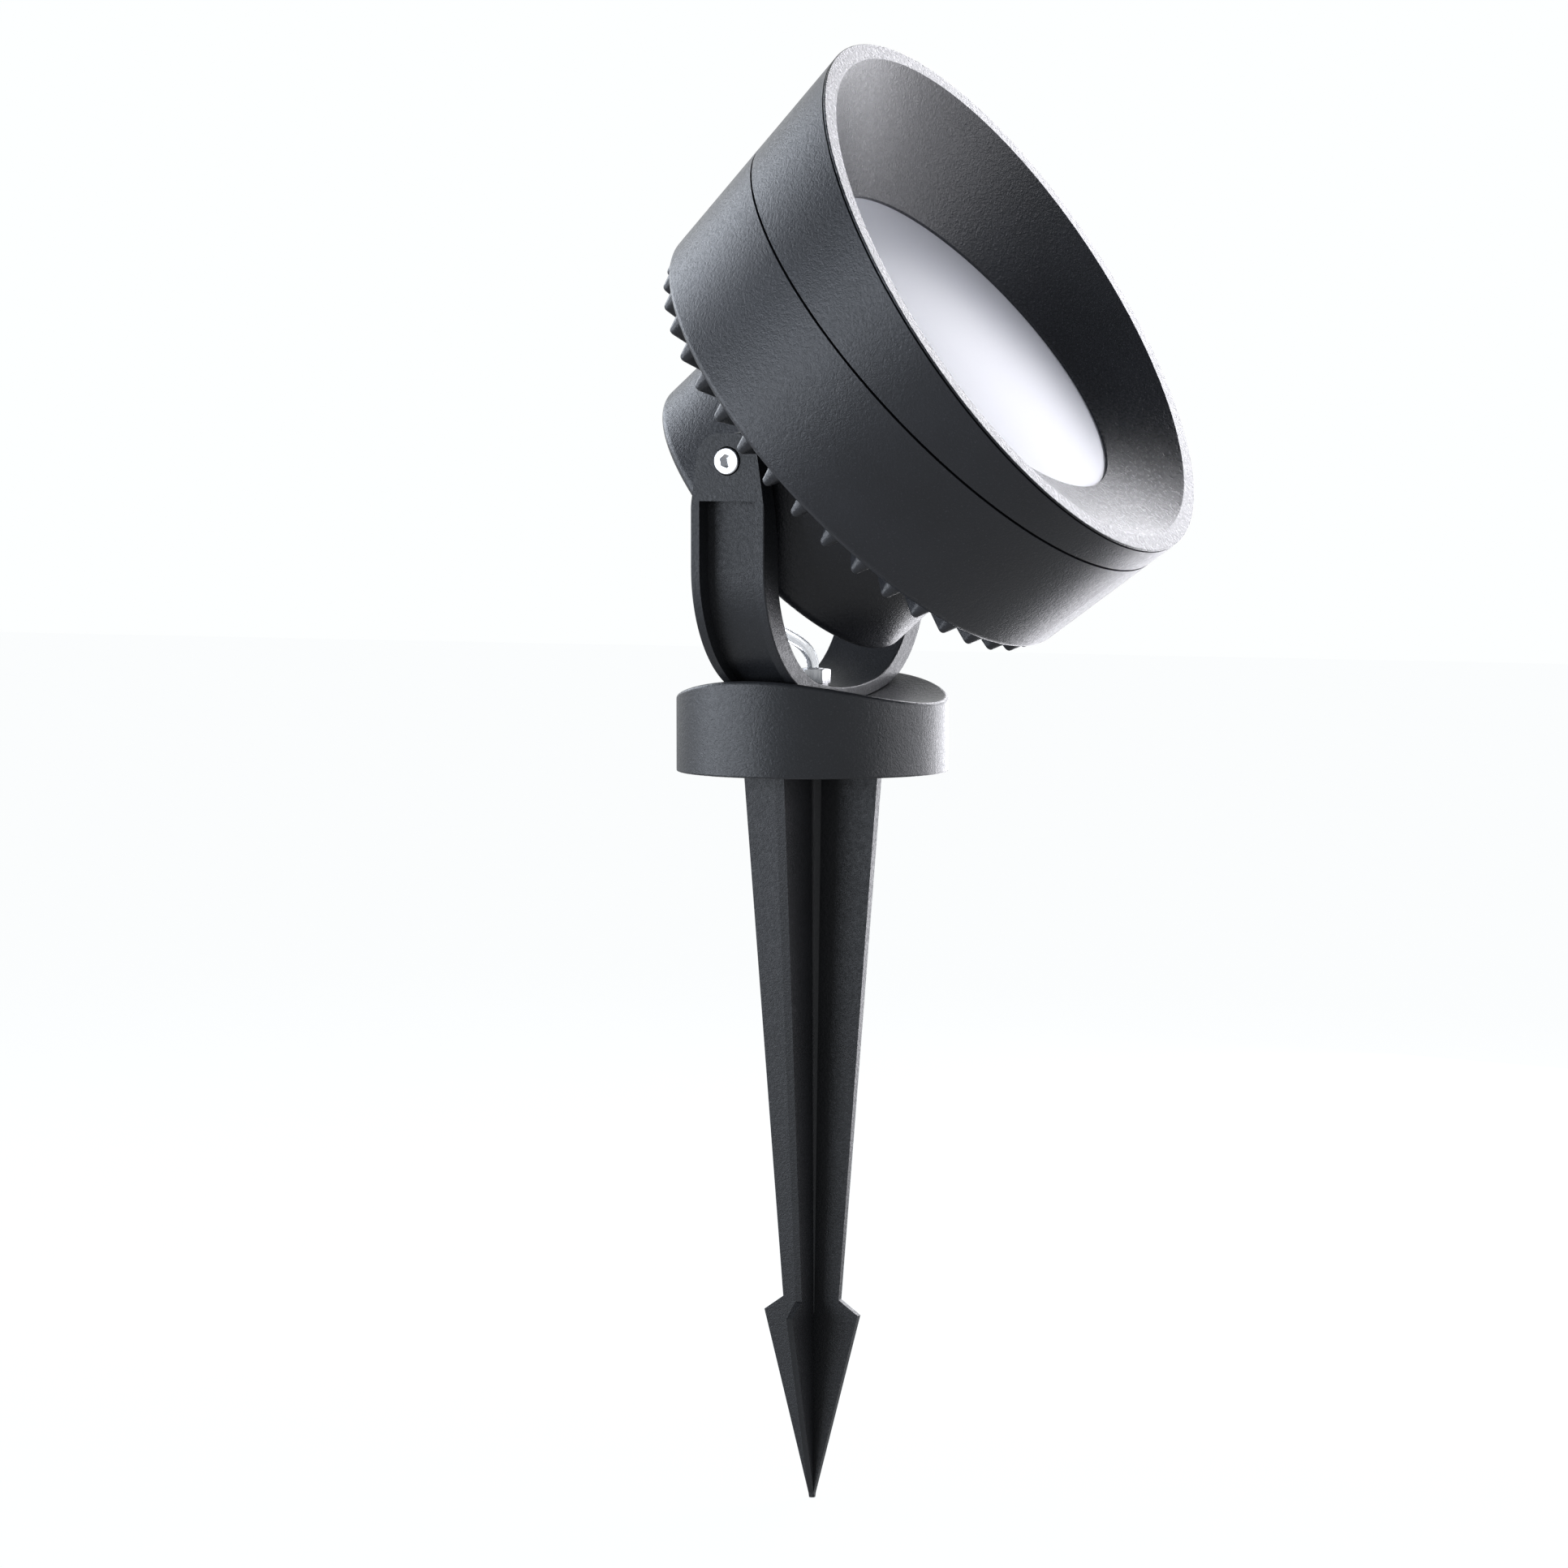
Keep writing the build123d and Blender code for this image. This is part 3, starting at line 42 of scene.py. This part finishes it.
# ---------------------------------------------------------------- camera
# The camera is fitted to outlines that were measured in the photograph.
VIEW_AZIMUTH = math.radians(26.34)    # its view is turned so far from straight along +Y
VIEW_PITCH = math.radians(3.78)       # and looks so far down
STAND_AZIMUTH = math.radians(26.04)   # it stands so far round the object's upright axis
STAND_DISTANCE = 1.7371
STAND_HEIGHT = 0.1105
IMAGE_PIXELS = 1932
FOCAL_PIXELS = 6700
SENSOR_WIDTH = 36.0                   # millimetres
CLIP_START = 0.1
CLIP_END = 50.0

BACK = Vector((
    math.sin(VIEW_AZIMUTH) * math.cos(VIEW_PITCH),
    -math.cos(VIEW_AZIMUTH) * math.cos(VIEW_PITCH),
    math.sin(VIEW_PITCH)))
RIGHT = Vector((math.cos(VIEW_AZIMUTH), math.sin(VIEW_AZIMUTH), 0.0))
UP = BACK.cross(RIGHT)


def place_camera():
    """The photograph's camera, at its measured place."""
    data = bpy.data.cameras.new("camera")
    data.sensor_fit = "HORIZONTAL"
    data.sensor_width = SENSOR_WIDTH
    data.lens = FOCAL_PIXELS * SENSOR_WIDTH / IMAGE_PIXELS
    data.clip_start = CLIP_START
    data.clip_end = CLIP_END
    camera = bpy.data.objects.new("camera", data)
    scene.collection.objects.link(camera)
    stand = Vector((
        STAND_DISTANCE * math.sin(STAND_AZIMUTH),
        -STAND_DISTANCE * math.cos(STAND_AZIMUTH),
        STAND_HEIGHT))
    turn = Matrix((RIGHT, UP, BACK)).transposed().to_4x4()
    camera.matrix_world = Matrix.Translation(stand) @ turn
    scene.camera = camera


place_camera()

# ---------------------------------------------------------------- material helpers
NOISE_LOW = 0.3    # nearly all of a noise lies between these two values
NOISE_HIGH = 0.7


def scaled(colour, factor, lift=0.0):
    """A colour times a factor, plus a lift, and no brighter than white."""
    return tuple(min(1.0, channel * factor + lift) for channel in colour)


class MaterialKit:
    """Short calls for building one material's node tree round a Principled shader."""

    def __init__(self, name):
        self.material = bpy.data.materials.new(name)
        self.material.use_nodes = True
        self.tree = self.material.node_tree
        self.tree.nodes.clear()
        self.output = self.tree.nodes.new("ShaderNodeOutputMaterial")
        self.shader = self.tree.nodes.new("ShaderNodeBsdfPrincipled")
        self.link(self.shader.outputs[0], self.output.inputs["Surface"])
        self.place = self.tree.nodes.new("ShaderNodeTexCoord").outputs["Object"]

    def link(self, source, target):
        self.tree.links.new(source, target)

    def feed(self, source, name):
        """Links a value into one of the shader's sockets."""
        self.link(source, self.shader.inputs[name])

    def set(self, **values):
        """Sets the shader's sockets. A name's underscores stand for spaces."""
        for key, value in values.items():
            self.shader.inputs[key.replace("_", " ")].default_value = value

    def stretched(self, scale):
        """The object's own coordinates, scaled by a different factor along each axis."""
        node = self.tree.nodes.new("ShaderNodeMapping")
        node.inputs["Scale"].default_value = scale
        self.link(self.place, node.inputs["Vector"])
        return node.outputs[0]

    def noise(self, scale, detail=2.0, rough=0.5, vector=None):
        node = self.tree.nodes.new("ShaderNodeTexNoise")
        node.inputs["Scale"].default_value = scale
        node.inputs["Detail"].default_value = detail
        node.inputs["Roughness"].default_value = rough
        self.link(vector or self.place, node.inputs["Vector"])
        return node.outputs["Fac"]

    def ramp(self, value, low, high, to_low=0.0, to_high=1.0):
        """A value between low and high, carried over to another range."""
        node = self.tree.nodes.new("ShaderNodeMapRange")
        node.inputs["From Min"].default_value = low
        node.inputs["From Max"].default_value = high
        node.inputs["To Min"].default_value = to_low
        node.inputs["To Max"].default_value = to_high
        self.link(value, node.inputs["Value"])
        return node.outputs[0]

    def spread(self, noise, to_low=0.0, to_high=1.0):
        """A noise, stretched over a range."""
        return self.ramp(noise, NOISE_LOW, NOISE_HIGH, to_low, to_high)

    def mix(self, factor, first, second):
        """A mix of two colours, each given by its values or by a socket."""
        node = self.tree.nodes.new("ShaderNodeMix")
        node.data_type = "RGBA"
        self.link(factor, node.inputs["Factor"])
        for name, colour in (("A", first), ("B", second)):
            target = next(s for s in node.inputs if s.name == name and s.type == "RGBA")
            if isinstance(colour, bpy.types.NodeSocket):
                self.link(colour, target)
            else:
                target.default_value = (*colour, 1.0)
        return next(s for s in node.outputs if s.type == "RGBA")

    def add(self, first, second, scale):
        """First plus second times a scale."""
        node = self.tree.nodes.new("ShaderNodeMath")
        node.operation = "MULTIPLY_ADD"
        self.link(second, node.inputs[0])
        node.inputs[1].default_value = scale
        self.link(first, node.inputs[2])
        return node.outputs[0]

    def bump(self, height, distance, strength=1.0):
        """Bump on the shader's normal. A height of 1 stands out by the distance."""
        node = self.tree.nodes.new("ShaderNodeBump")
        node.inputs["Strength"].default_value = strength
        node.inputs["Distance"].default_value = distance
        self.link(height, node.inputs["Height"])
        self.feed(node.outputs[0], "Normal")


# ---------------------------------------------------------------- kinds of finish
# A noise's scale is about the number of its grains in a metre.
PAINT_FINE = 1900.0
PAINT_COARSE = 900.0
PAINT_CLOUD = 28.0
PAINT_DARK = 0.82           # cloudiness, as factors of the paint's colour
PAINT_LIGHT = 1.22
FLECK_FROM = 0.60           # the fine noise above which a fleck starts, and where it is full
FLECK_FULL = 0.72
FLECK_GAIN = 3.2
FLECK_LIFT = 0.02
PAINT_VARIES = 0.07         # roughness, up and down
PAINT_RELIEF = 0.0001
COARSE_SHARE = 1.2          # of the coarse grain in the relief, against the fine grain


def powder_paint(name, colour, roughness, grain=1.0, fleck=0.35):
    """Powder coat: fine grain that catches the light, faint flecks and slight cloudiness."""
    kit = MaterialKit(name)
    fine = kit.noise(PAINT_FINE, rough=0.6)
    coarse = kit.noise(PAINT_COARSE, detail=3.0, rough=0.55)
    cloud = kit.noise(PAINT_CLOUD, detail=3.0, rough=0.55)
    body = kit.mix(kit.spread(cloud), scaled(colour, PAINT_DARK), scaled(colour, PAINT_LIGHT))
    flecks = kit.ramp(fine, FLECK_FROM, FLECK_FULL, 0.0, fleck)
    kit.feed(kit.mix(flecks, body, scaled(colour, FLECK_GAIN, FLECK_LIFT)), "Base Color")
    kit.feed(kit.spread(coarse, roughness - PAINT_VARIES, roughness + PAINT_VARIES), "Roughness")
    kit.set(IOR=1.5, Metallic=0.0)
    kit.bump(kit.add(fine, coarse, COARSE_SHARE), PAINT_RELIEF * grain)
    return kit.material


TURNED_LINES = (2500.0, 2500.0, 120.0)
METAL_STAIN = 160.0
STAIN_FROM = 0.35           # the stain noise where stains start
STAIN_SHADE = 0.86
METAL_SMOOTHER = 0.05       # roughness, down and up
METAL_ROUGHER = 0.09
METAL_RELIEF = 0.00001
METAL_BUMP = 0.6


def turned_metal(name, colour, roughness, lines=TURNED_LINES):
    """Plated or machined metal with fine tool lines and faint stains."""
    kit = MaterialKit(name)
    tooling = kit.noise(1.0, vector=kit.stretched(lines))
    stain = kit.noise(METAL_STAIN, detail=3.0, rough=0.6)
    stained = kit.ramp(stain, STAIN_FROM, NOISE_HIGH)
    kit.feed(kit.mix(stained, colour, scaled(colour, STAIN_SHADE)), "Base Color")
    kit.feed(kit.spread(tooling, roughness - METAL_SMOOTHER, roughness + METAL_ROUGHER), "Roughness")
    kit.set(Metallic=1.0)
    kit.bump(tooling, METAL_RELIEF, METAL_BUMP)
    return kit.material


MOULDED_SKIN = 1800.0
MOULDED_CLOUD = 90.0
MOULDED_DARK = 0.88
MOULDED_LIGHT = 1.1
MOULDED_VARIES = 0.06
MOULDED_RELIEF = 0.00003
MOULDED_BUMP = 0.8


def moulded(name, colour, roughness, grain=0.4):
    """Moulded plastic or rubber with a fine skin texture."""
    kit = MaterialKit(name)
    skin = kit.noise(MOULDED_SKIN, rough=0.55)
    cloud = kit.noise(MOULDED_CLOUD, detail=3.0)
    shades = scaled(colour, MOULDED_DARK), scaled(colour, MOULDED_LIGHT)
    kit.feed(kit.mix(kit.spread(cloud), *shades), "Base Color")
    kit.feed(kit.spread(skin, roughness - MOULDED_VARIES, roughness + MOULDED_VARIES), "Roughness")
    kit.bump(skin, MOULDED_RELIEF * grain, MOULDED_BUMP)
    return kit.material


GLASS_FROST = 3200.0
GLASS_CLOUD = 14.0
GLASS_SHADES = (0.84, 0.85, 0.92), (0.88, 0.89, 0.95)
GLASS_ROUGHNESS = 0.33, 0.41
GLASS_RELIEF = 0.00001
GLASS_BUMP = 0.5


def frosted_glass(name):
    """Opal front glass: pale, with a satin frosted face."""
    kit = MaterialKit(name)
    frost = kit.noise(GLASS_FROST, rough=0.6)
    cloud = kit.noise(GLASS_CLOUD)
    kit.feed(kit.mix(kit.spread(cloud), *GLASS_SHADES), "Base Color")
    kit.feed(kit.spread(frost, *GLASS_ROUGHNESS), "Roughness")
    kit.set(IOR=1.5)
    kit.bump(frost, GLASS_RELIEF, GLASS_BUMP)
    return kit.material


PHOSPHOR_GRAIN = 2400.0
PHOSPHOR_SHADES = (0.75, 0.5, 0.06), (0.85, 0.62, 0.12)
PHOSPHOR_RELIEF = 0.00002
PHOSPHOR_BUMP = 0.5


def phosphor(name):
    """Yellow phosphor of the light source, with a fine grain."""
    kit = MaterialKit(name)
    grain = kit.noise(PHOSPHOR_GRAIN, rough=0.6)
    kit.feed(kit.mix(kit.spread(grain), *PHOSPHOR_SHADES), "Base Color")
    kit.set(Roughness=0.25)
    kit.bump(grain, PHOSPHOR_RELIEF, PHOSPHOR_BUMP)
    return kit.material


JACKET_FLOW = (900.0, 900.0, 60.0)
JACKET_SHADES = (0.84, 0.85, 0.88), (0.92, 0.93, 0.95)
JACKET_ROUGHNESS = 0.10, 0.20


def clear_jacket(name):
    """Clear, slightly milky jacket, glossy, with faint flow lines."""
    kit = MaterialKit(name)
    flow = kit.noise(1.0, vector=kit.stretched(JACKET_FLOW))
    kit.feed(kit.mix(kit.spread(flow), *JACKET_SHADES), "Base Color")
    kit.feed(kit.spread(flow, *JACKET_ROUGHNESS), "Roughness")
    kit.set(IOR=1.3, Transmission_Weight=0.7)
    return kit.material


# ---------------------------------------------------------------- materials
ANTHRACITE = (0.038, 0.040, 0.047)
PAINTS = {
    "body_paint": dict(colour=ANTHRACITE, roughness=0.36),
    "ring_paint": dict(colour=ANTHRACITE, roughness=0.36),
    "baffle_paint": dict(colour=ANTHRACITE, roughness=0.29, grain=1.4, fleck=0.6),
    "base_paint": dict(colour=(0.040, 0.042, 0.047), roughness=0.36),
    "bracket_paint": dict(colour=(0.036, 0.038, 0.043), roughness=0.44, grain=0.9),
    "spike_paint": dict(colour=(0.020, 0.021, 0.024), roughness=0.42, grain=0.7, fleck=0.2),
}
METALS = {
    "chrome": dict(colour=(0.86, 0.86, 0.88), roughness=0.16),
    "steel": dict(colour=(0.52, 0.52, 0.53), roughness=0.32),
    "brass": dict(colour=(0.62, 0.52, 0.32), roughness=0.3),
    "reflector": dict(colour=(0.9, 0.9, 0.91), roughness=0.12, lines=(60.0, 60.0, 900.0)),
}
MOULDINGS = {
    "rubber": dict(colour=(0.02, 0.02, 0.021), roughness=0.78, grain=1.0),
    "silicone": dict(colour=(0.62, 0.62, 0.62), roughness=0.55),
    "board": dict(colour=(0.8, 0.81, 0.8), roughness=0.45),
    "pad": dict(colour=(0.34, 0.36, 0.4), roughness=0.8, grain=1.2),
    "potting": dict(colour=(0.02, 0.02, 0.023), roughness=0.6),
    "terminal_plastic": dict(colour=(0.66, 0.66, 0.63), roughness=0.45),
    "nylon": dict(colour=(0.48, 0.48, 0.46), roughness=0.5),
    "core_jacket": dict(colour=(0.3, 0.03, 0.025), roughness=0.35),
}
materials = {
    "frosted_glass": frosted_glass("frosted_glass"),
    "emitter": phosphor("emitter"),
    "lead_jacket": clear_jacket("lead_jacket"),
}
for finish, group in ((powder_paint, PAINTS), (turned_metal, METALS), (moulded, MOULDINGS)):
    for name, values in group.items():
        materials[name] = finish(name, **values)

slot_of = {part["node"]: part["material_slot"] for part in frame["record"]["subparts"]}
for name, node in nodes.items():
    node.data.materials.clear()
    node.data.materials.append(materials[slot_of[name]])

# ---------------------------------------------------------------- lead
LEAD_RADIUS = 0.0019
LEAD_SIDES = 28
ROUTE_STEPS = 16
# From the gland's inner end, round the bend behind the near arm, and down through the nut's stud.
LEAD_ROUTE = [
    (-0.00788, 0.0, 0.08294), (-0.01504, 0.0, 0.07685), (-0.02303, 0.0, 0.07005),
    (-0.0239, 0.0, 0.0562), (-0.0149, 0.0, 0.0460), (0.0003, 0.0, 0.0390),
    (0.0, 0.0, 0.0270), (0.0, 0.0, 0.012)]


def smooth_line(points, name):
    """Points along the smooth line that the given route steers, read from a curve."""
    curve = bpy.data.curves.new(name, "CURVE")
    curve.dimensions = "3D"
    spline = curve.splines.new("NURBS")
    spline.points.add(len(points) - 1)
    for point, target in zip(spline.points, points):
        point.co = (*target, 1.0)
    spline.order_u = 3
    spline.use_endpoint_u = True
    spline.resolution_u = ROUTE_STEPS
    holder = bpy.data.objects.new(name, curve)
    scene.collection.objects.link(holder)
    bpy.context.view_layer.update()
    mesh = bpy.data.meshes.new_from_object(holder)
    line = [vertex.co.copy() for vertex in mesh.vertices]
    bpy.data.objects.remove(holder)
    bpy.data.meshes.remove(mesh)
    return line


def circle_at(work, point, ahead, side, radius, sides):
    """One ring of the tube's vertices, square to its line."""
    other = ahead.cross(side)
    ring = []
    for step in range(sides):
        angle = 2 * math.pi * step / sides
        offset = side * math.cos(angle) + other * math.sin(angle)
        ring.append(work.verts.new(point + offset * radius))
    return ring


def tube(name, line, radius, sides):
    """A closed round tube along a line."""
    work = bmesh.new()
    rings = []
    side = Vector((0.0, 1.0, 0.0))
    for index, point in enumerate(line):
        ahead = line[min(index + 1, len(line) - 1)] - line[max(index - 1, 0)]
        ahead.normalize()
        side = (side - ahead * side.dot(ahead)).normalized()
        rings.append(circle_at(work, point, ahead, side, radius, sides))
    for first, second in zip(rings, rings[1:]):
        for step in range(sides):
            after = (step + 1) % sides
            work.faces.new((first[step], first[after], second[after], second[step]))
    work.faces.new(list(reversed(rings[0])))
    work.faces.new(rings[-1])
    bmesh.ops.recalc_face_normals(work, faces=work.faces)
    mesh = bpy.data.meshes.new(name)
    work.to_mesh(mesh)
    work.free()
    for polygon in mesh.polygons:
        polygon.use_smooth = len(polygon.vertices) == 4
    shape = bpy.data.objects.new(name, mesh)
    scene.collection.objects.link(shape)
    return shape


lead_line = smooth_line(LEAD_ROUTE, "lead_route")
lead = tube("lead_tube", lead_line, LEAD_RADIUS, LEAD_SIDES)
lead.data.materials.append(materials["lead_jacket"])
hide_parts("lead")
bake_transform(lead)

# ---------------------------------------------------------------- floor
FLOOR_SIZE = 12.0
FLOOR_HEIGHT = -0.2352      # just under the spike's tip
FLOOR_SEEN = 0.98           # glow that the camera sees, where 1 is white
FLOOR_REFLECTED = 0.44      # glow in reflections
FLOOR_GLOW = (0.98, 0.995, 1.0, 1.0)
FLOOR_DARK = (0.045, 0.047, 0.05)
FLOOR_LIGHT = (0.05, 0.052, 0.055)
FLOOR_GRAIN = 40.0


def seen_directly(tree):
    """1 for rays from the camera, also through clear pieces."""
    path = tree.nodes.new("ShaderNodeLightPath")
    either = tree.nodes.new("ShaderNodeMath")
    either.operation = "MAXIMUM"
    tree.links.new(path.outputs["Is Camera Ray"], either.inputs[0])
    tree.links.new(path.outputs["Is Transmission Ray"], either.inputs[1])
    return either.outputs[0]


def floor_material():
    """Floor that looks near white to the camera, glows less in reflections, and keeps a faint shadow."""
    kit = MaterialKit("floor")
    grain = kit.noise(FLOOR_GRAIN, detail=3.0)
    kit.feed(kit.mix(kit.spread(grain), FLOOR_DARK, FLOOR_LIGHT), "Base Color")
    kit.set(Roughness=0.9, Specular_IOR_Level=0.0)
    glow = kit.tree.nodes.new("ShaderNodeEmission")
    glow.inputs["Color"].default_value = FLOOR_GLOW
    seen = kit.ramp(seen_directly(kit.tree), 0.0, 1.0, 0.0, FLOOR_SEEN)
    reflected = kit.tree.nodes.new("ShaderNodeLightPath").outputs["Is Glossy Ray"]
    kit.link(kit.add(seen, reflected, FLOOR_REFLECTED), glow.inputs["Strength"])
    total = kit.tree.nodes.new("ShaderNodeAddShader")
    kit.link(kit.shader.outputs[0], total.inputs[0])
    kit.link(glow.outputs[0], total.inputs[1])
    kit.link(total.outputs[0], kit.output.inputs["Surface"])
    return kit.material


bpy.ops.mesh.primitive_plane_add(size=FLOOR_SIZE, location=(0.0, 0.0, FLOOR_HEIGHT))
floor = bpy.context.object
floor.name = "floor"
floor.data.materials.append(floor_material())

# ---------------------------------------------------------------- lamps
LAMP_AIM = Vector((0.0, 0.0, 0.09))
LEVEL_BACK = Vector((BACK.x, BACK.y, 0.0)).normalized()
COOL = (0.84, 0.90, 1.0)
CLEAR = (0.95, 0.945, 1.0)
# Each lamp's name, degrees to the right of the camera, round the object, degrees above level,
# distance, width, height, power in watts and colour. They stand where the photograph's own
# reflections show its lamps.
LAMPS = [
    ("back_right_light", 145, 21, 1.2, 1.0, 0.5, 9.4, CLEAR),
    ("level_right_light", 141, -7, 1.2, 1.05, 0.46, 7.6, CLEAR),
    ("right_light", 88, -2, 1.2, 1.2, 0.5, 4.6, CLEAR),
    ("low_light", 156, -28, 0.5, 0.66, 0.16, 1.3, CLEAR),
    ("left_light", -77, -4, 1.2, 1.45, 0.6, 10.3, COOL),
    ("back_left_light", -130, 18, 1.2, 0.85, 0.5, 5.6, COOL),
]


def seen_from_object(degrees_right, degrees_up):
    """The direction so many degrees to the right of the camera, round the object, and above level."""
    turn = math.radians(degrees_right)
    rise = math.radians(degrees_up)
    level = RIGHT * math.sin(turn) + LEVEL_BACK * math.cos(turn)
    return level * math.cos(rise) + Vector((0.0, 0.0, math.sin(rise)))


def softbox(name, away, distance, width, height, power, colour):
    """A rectangular lamp that faces the object, and that the camera doesn't see."""
    data = bpy.data.lights.new(name, "AREA")
    data.shape = "RECTANGLE"
    data.size = width
    data.size_y = height
    data.energy = power
    data.color = colour
    lamp = bpy.data.objects.new(name, data)
    lamp.location = LAMP_AIM + away * distance
    lamp.rotation_mode = "QUATERNION"
    lamp.rotation_quaternion = (-away).to_track_quat("-Z", "Y")
    lamp.visible_camera = False
    scene.collection.objects.link(lamp)


for name, degrees_right, degrees_up, *values in LAMPS:
    softbox(name, seen_from_object(degrees_right, degrees_up), *values)

# ---------------------------------------------------------------- world
AMBIENT = 0.5               # strength at the horizon and below
OVERHEAD = 0.06             # strength from OVERHEAD_FROM upwards
OVERHEAD_FROM = 0.7         # as the upward part of a direction
AMBIENT_COLOUR = (0.9, 0.95, 1.0, 1.0)
BACKDROP_COLOUR = (0.985, 1.0, 1.0, 1.0)
BEHIND_FROM = 0.45          # how far a reflection runs along the view when it starts to show the
BEHIND_FULL = 0.96          # backdrop, and when it shows it fully, where 1 is exactly along


def overhead_strength(tree, direction):
    """Ambient light that fades to nearly none overhead."""
    split = tree.nodes.new("ShaderNodeSeparateXYZ")
    tree.links.new(direction, split.inputs[0])
    grade = tree.nodes.new("ShaderNodeMapRange")
    grade.interpolation_type = "SMOOTHSTEP"
    grade.inputs["From Min"].default_value = 0.0
    grade.inputs["From Max"].default_value = OVERHEAD_FROM
    grade.inputs["To Min"].default_value = AMBIENT
    grade.inputs["To Max"].default_value = OVERHEAD
    tree.links.new(split.outputs["Z"], grade.inputs["Value"])
    return grade.outputs[0]


def backdrop_share(tree, direction):
    """1 where the camera sees the backdrop, and up to 1 in reflections of what is behind the object."""
    facing = tree.nodes.new("ShaderNodeVectorMath")
    facing.operation = "DOT_PRODUCT"
    facing.inputs[1].default_value = -BACK
    tree.links.new(direction, facing.inputs[0])
    behind = tree.nodes.new("ShaderNodeMapRange")
    behind.inputs["From Min"].default_value = BEHIND_FROM
    behind.inputs["From Max"].default_value = BEHIND_FULL
    tree.links.new(facing.outputs["Value"], behind.inputs["Value"])
    glossy = tree.nodes.new("ShaderNodeLightPath").outputs["Is Glossy Ray"]
    share = tree.nodes.new("ShaderNodeMath")
    share.operation = "MULTIPLY_ADD"
    tree.links.new(glossy, share.inputs[0])
    tree.links.new(behind.outputs[0], share.inputs[1])
    tree.links.new(seen_directly(tree), share.inputs[2])
    return share.outputs[0]


def build_world():
    """Plain soft light, seen as a white backdrop directly and in reflections of what is behind."""
    world = bpy.data.worlds.new("world")
    world.use_nodes = True
    tree = world.node_tree
    tree.nodes.clear()
    output = tree.nodes.new("ShaderNodeOutputWorld")
    direction = tree.nodes.new("ShaderNodeTexCoord").outputs["Generated"]
    ambient = tree.nodes.new("ShaderNodeBackground")
    ambient.inputs["Color"].default_value = AMBIENT_COLOUR
    tree.links.new(overhead_strength(tree, direction), ambient.inputs["Strength"])
    backdrop = tree.nodes.new("ShaderNodeBackground")
    backdrop.inputs["Color"].default_value = BACKDROP_COLOUR
    blend = tree.nodes.new("ShaderNodeMixShader")
    tree.links.new(backdrop_share(tree, direction), blend.inputs[0])
    tree.links.new(ambient.outputs[0], blend.inputs[1])
    tree.links.new(backdrop.outputs[0], blend.inputs[2])
    tree.links.new(blend.outputs[0], output.inputs[0])
    return world


scene.world = build_world()
scene.view_settings.view_transform = "Standard"
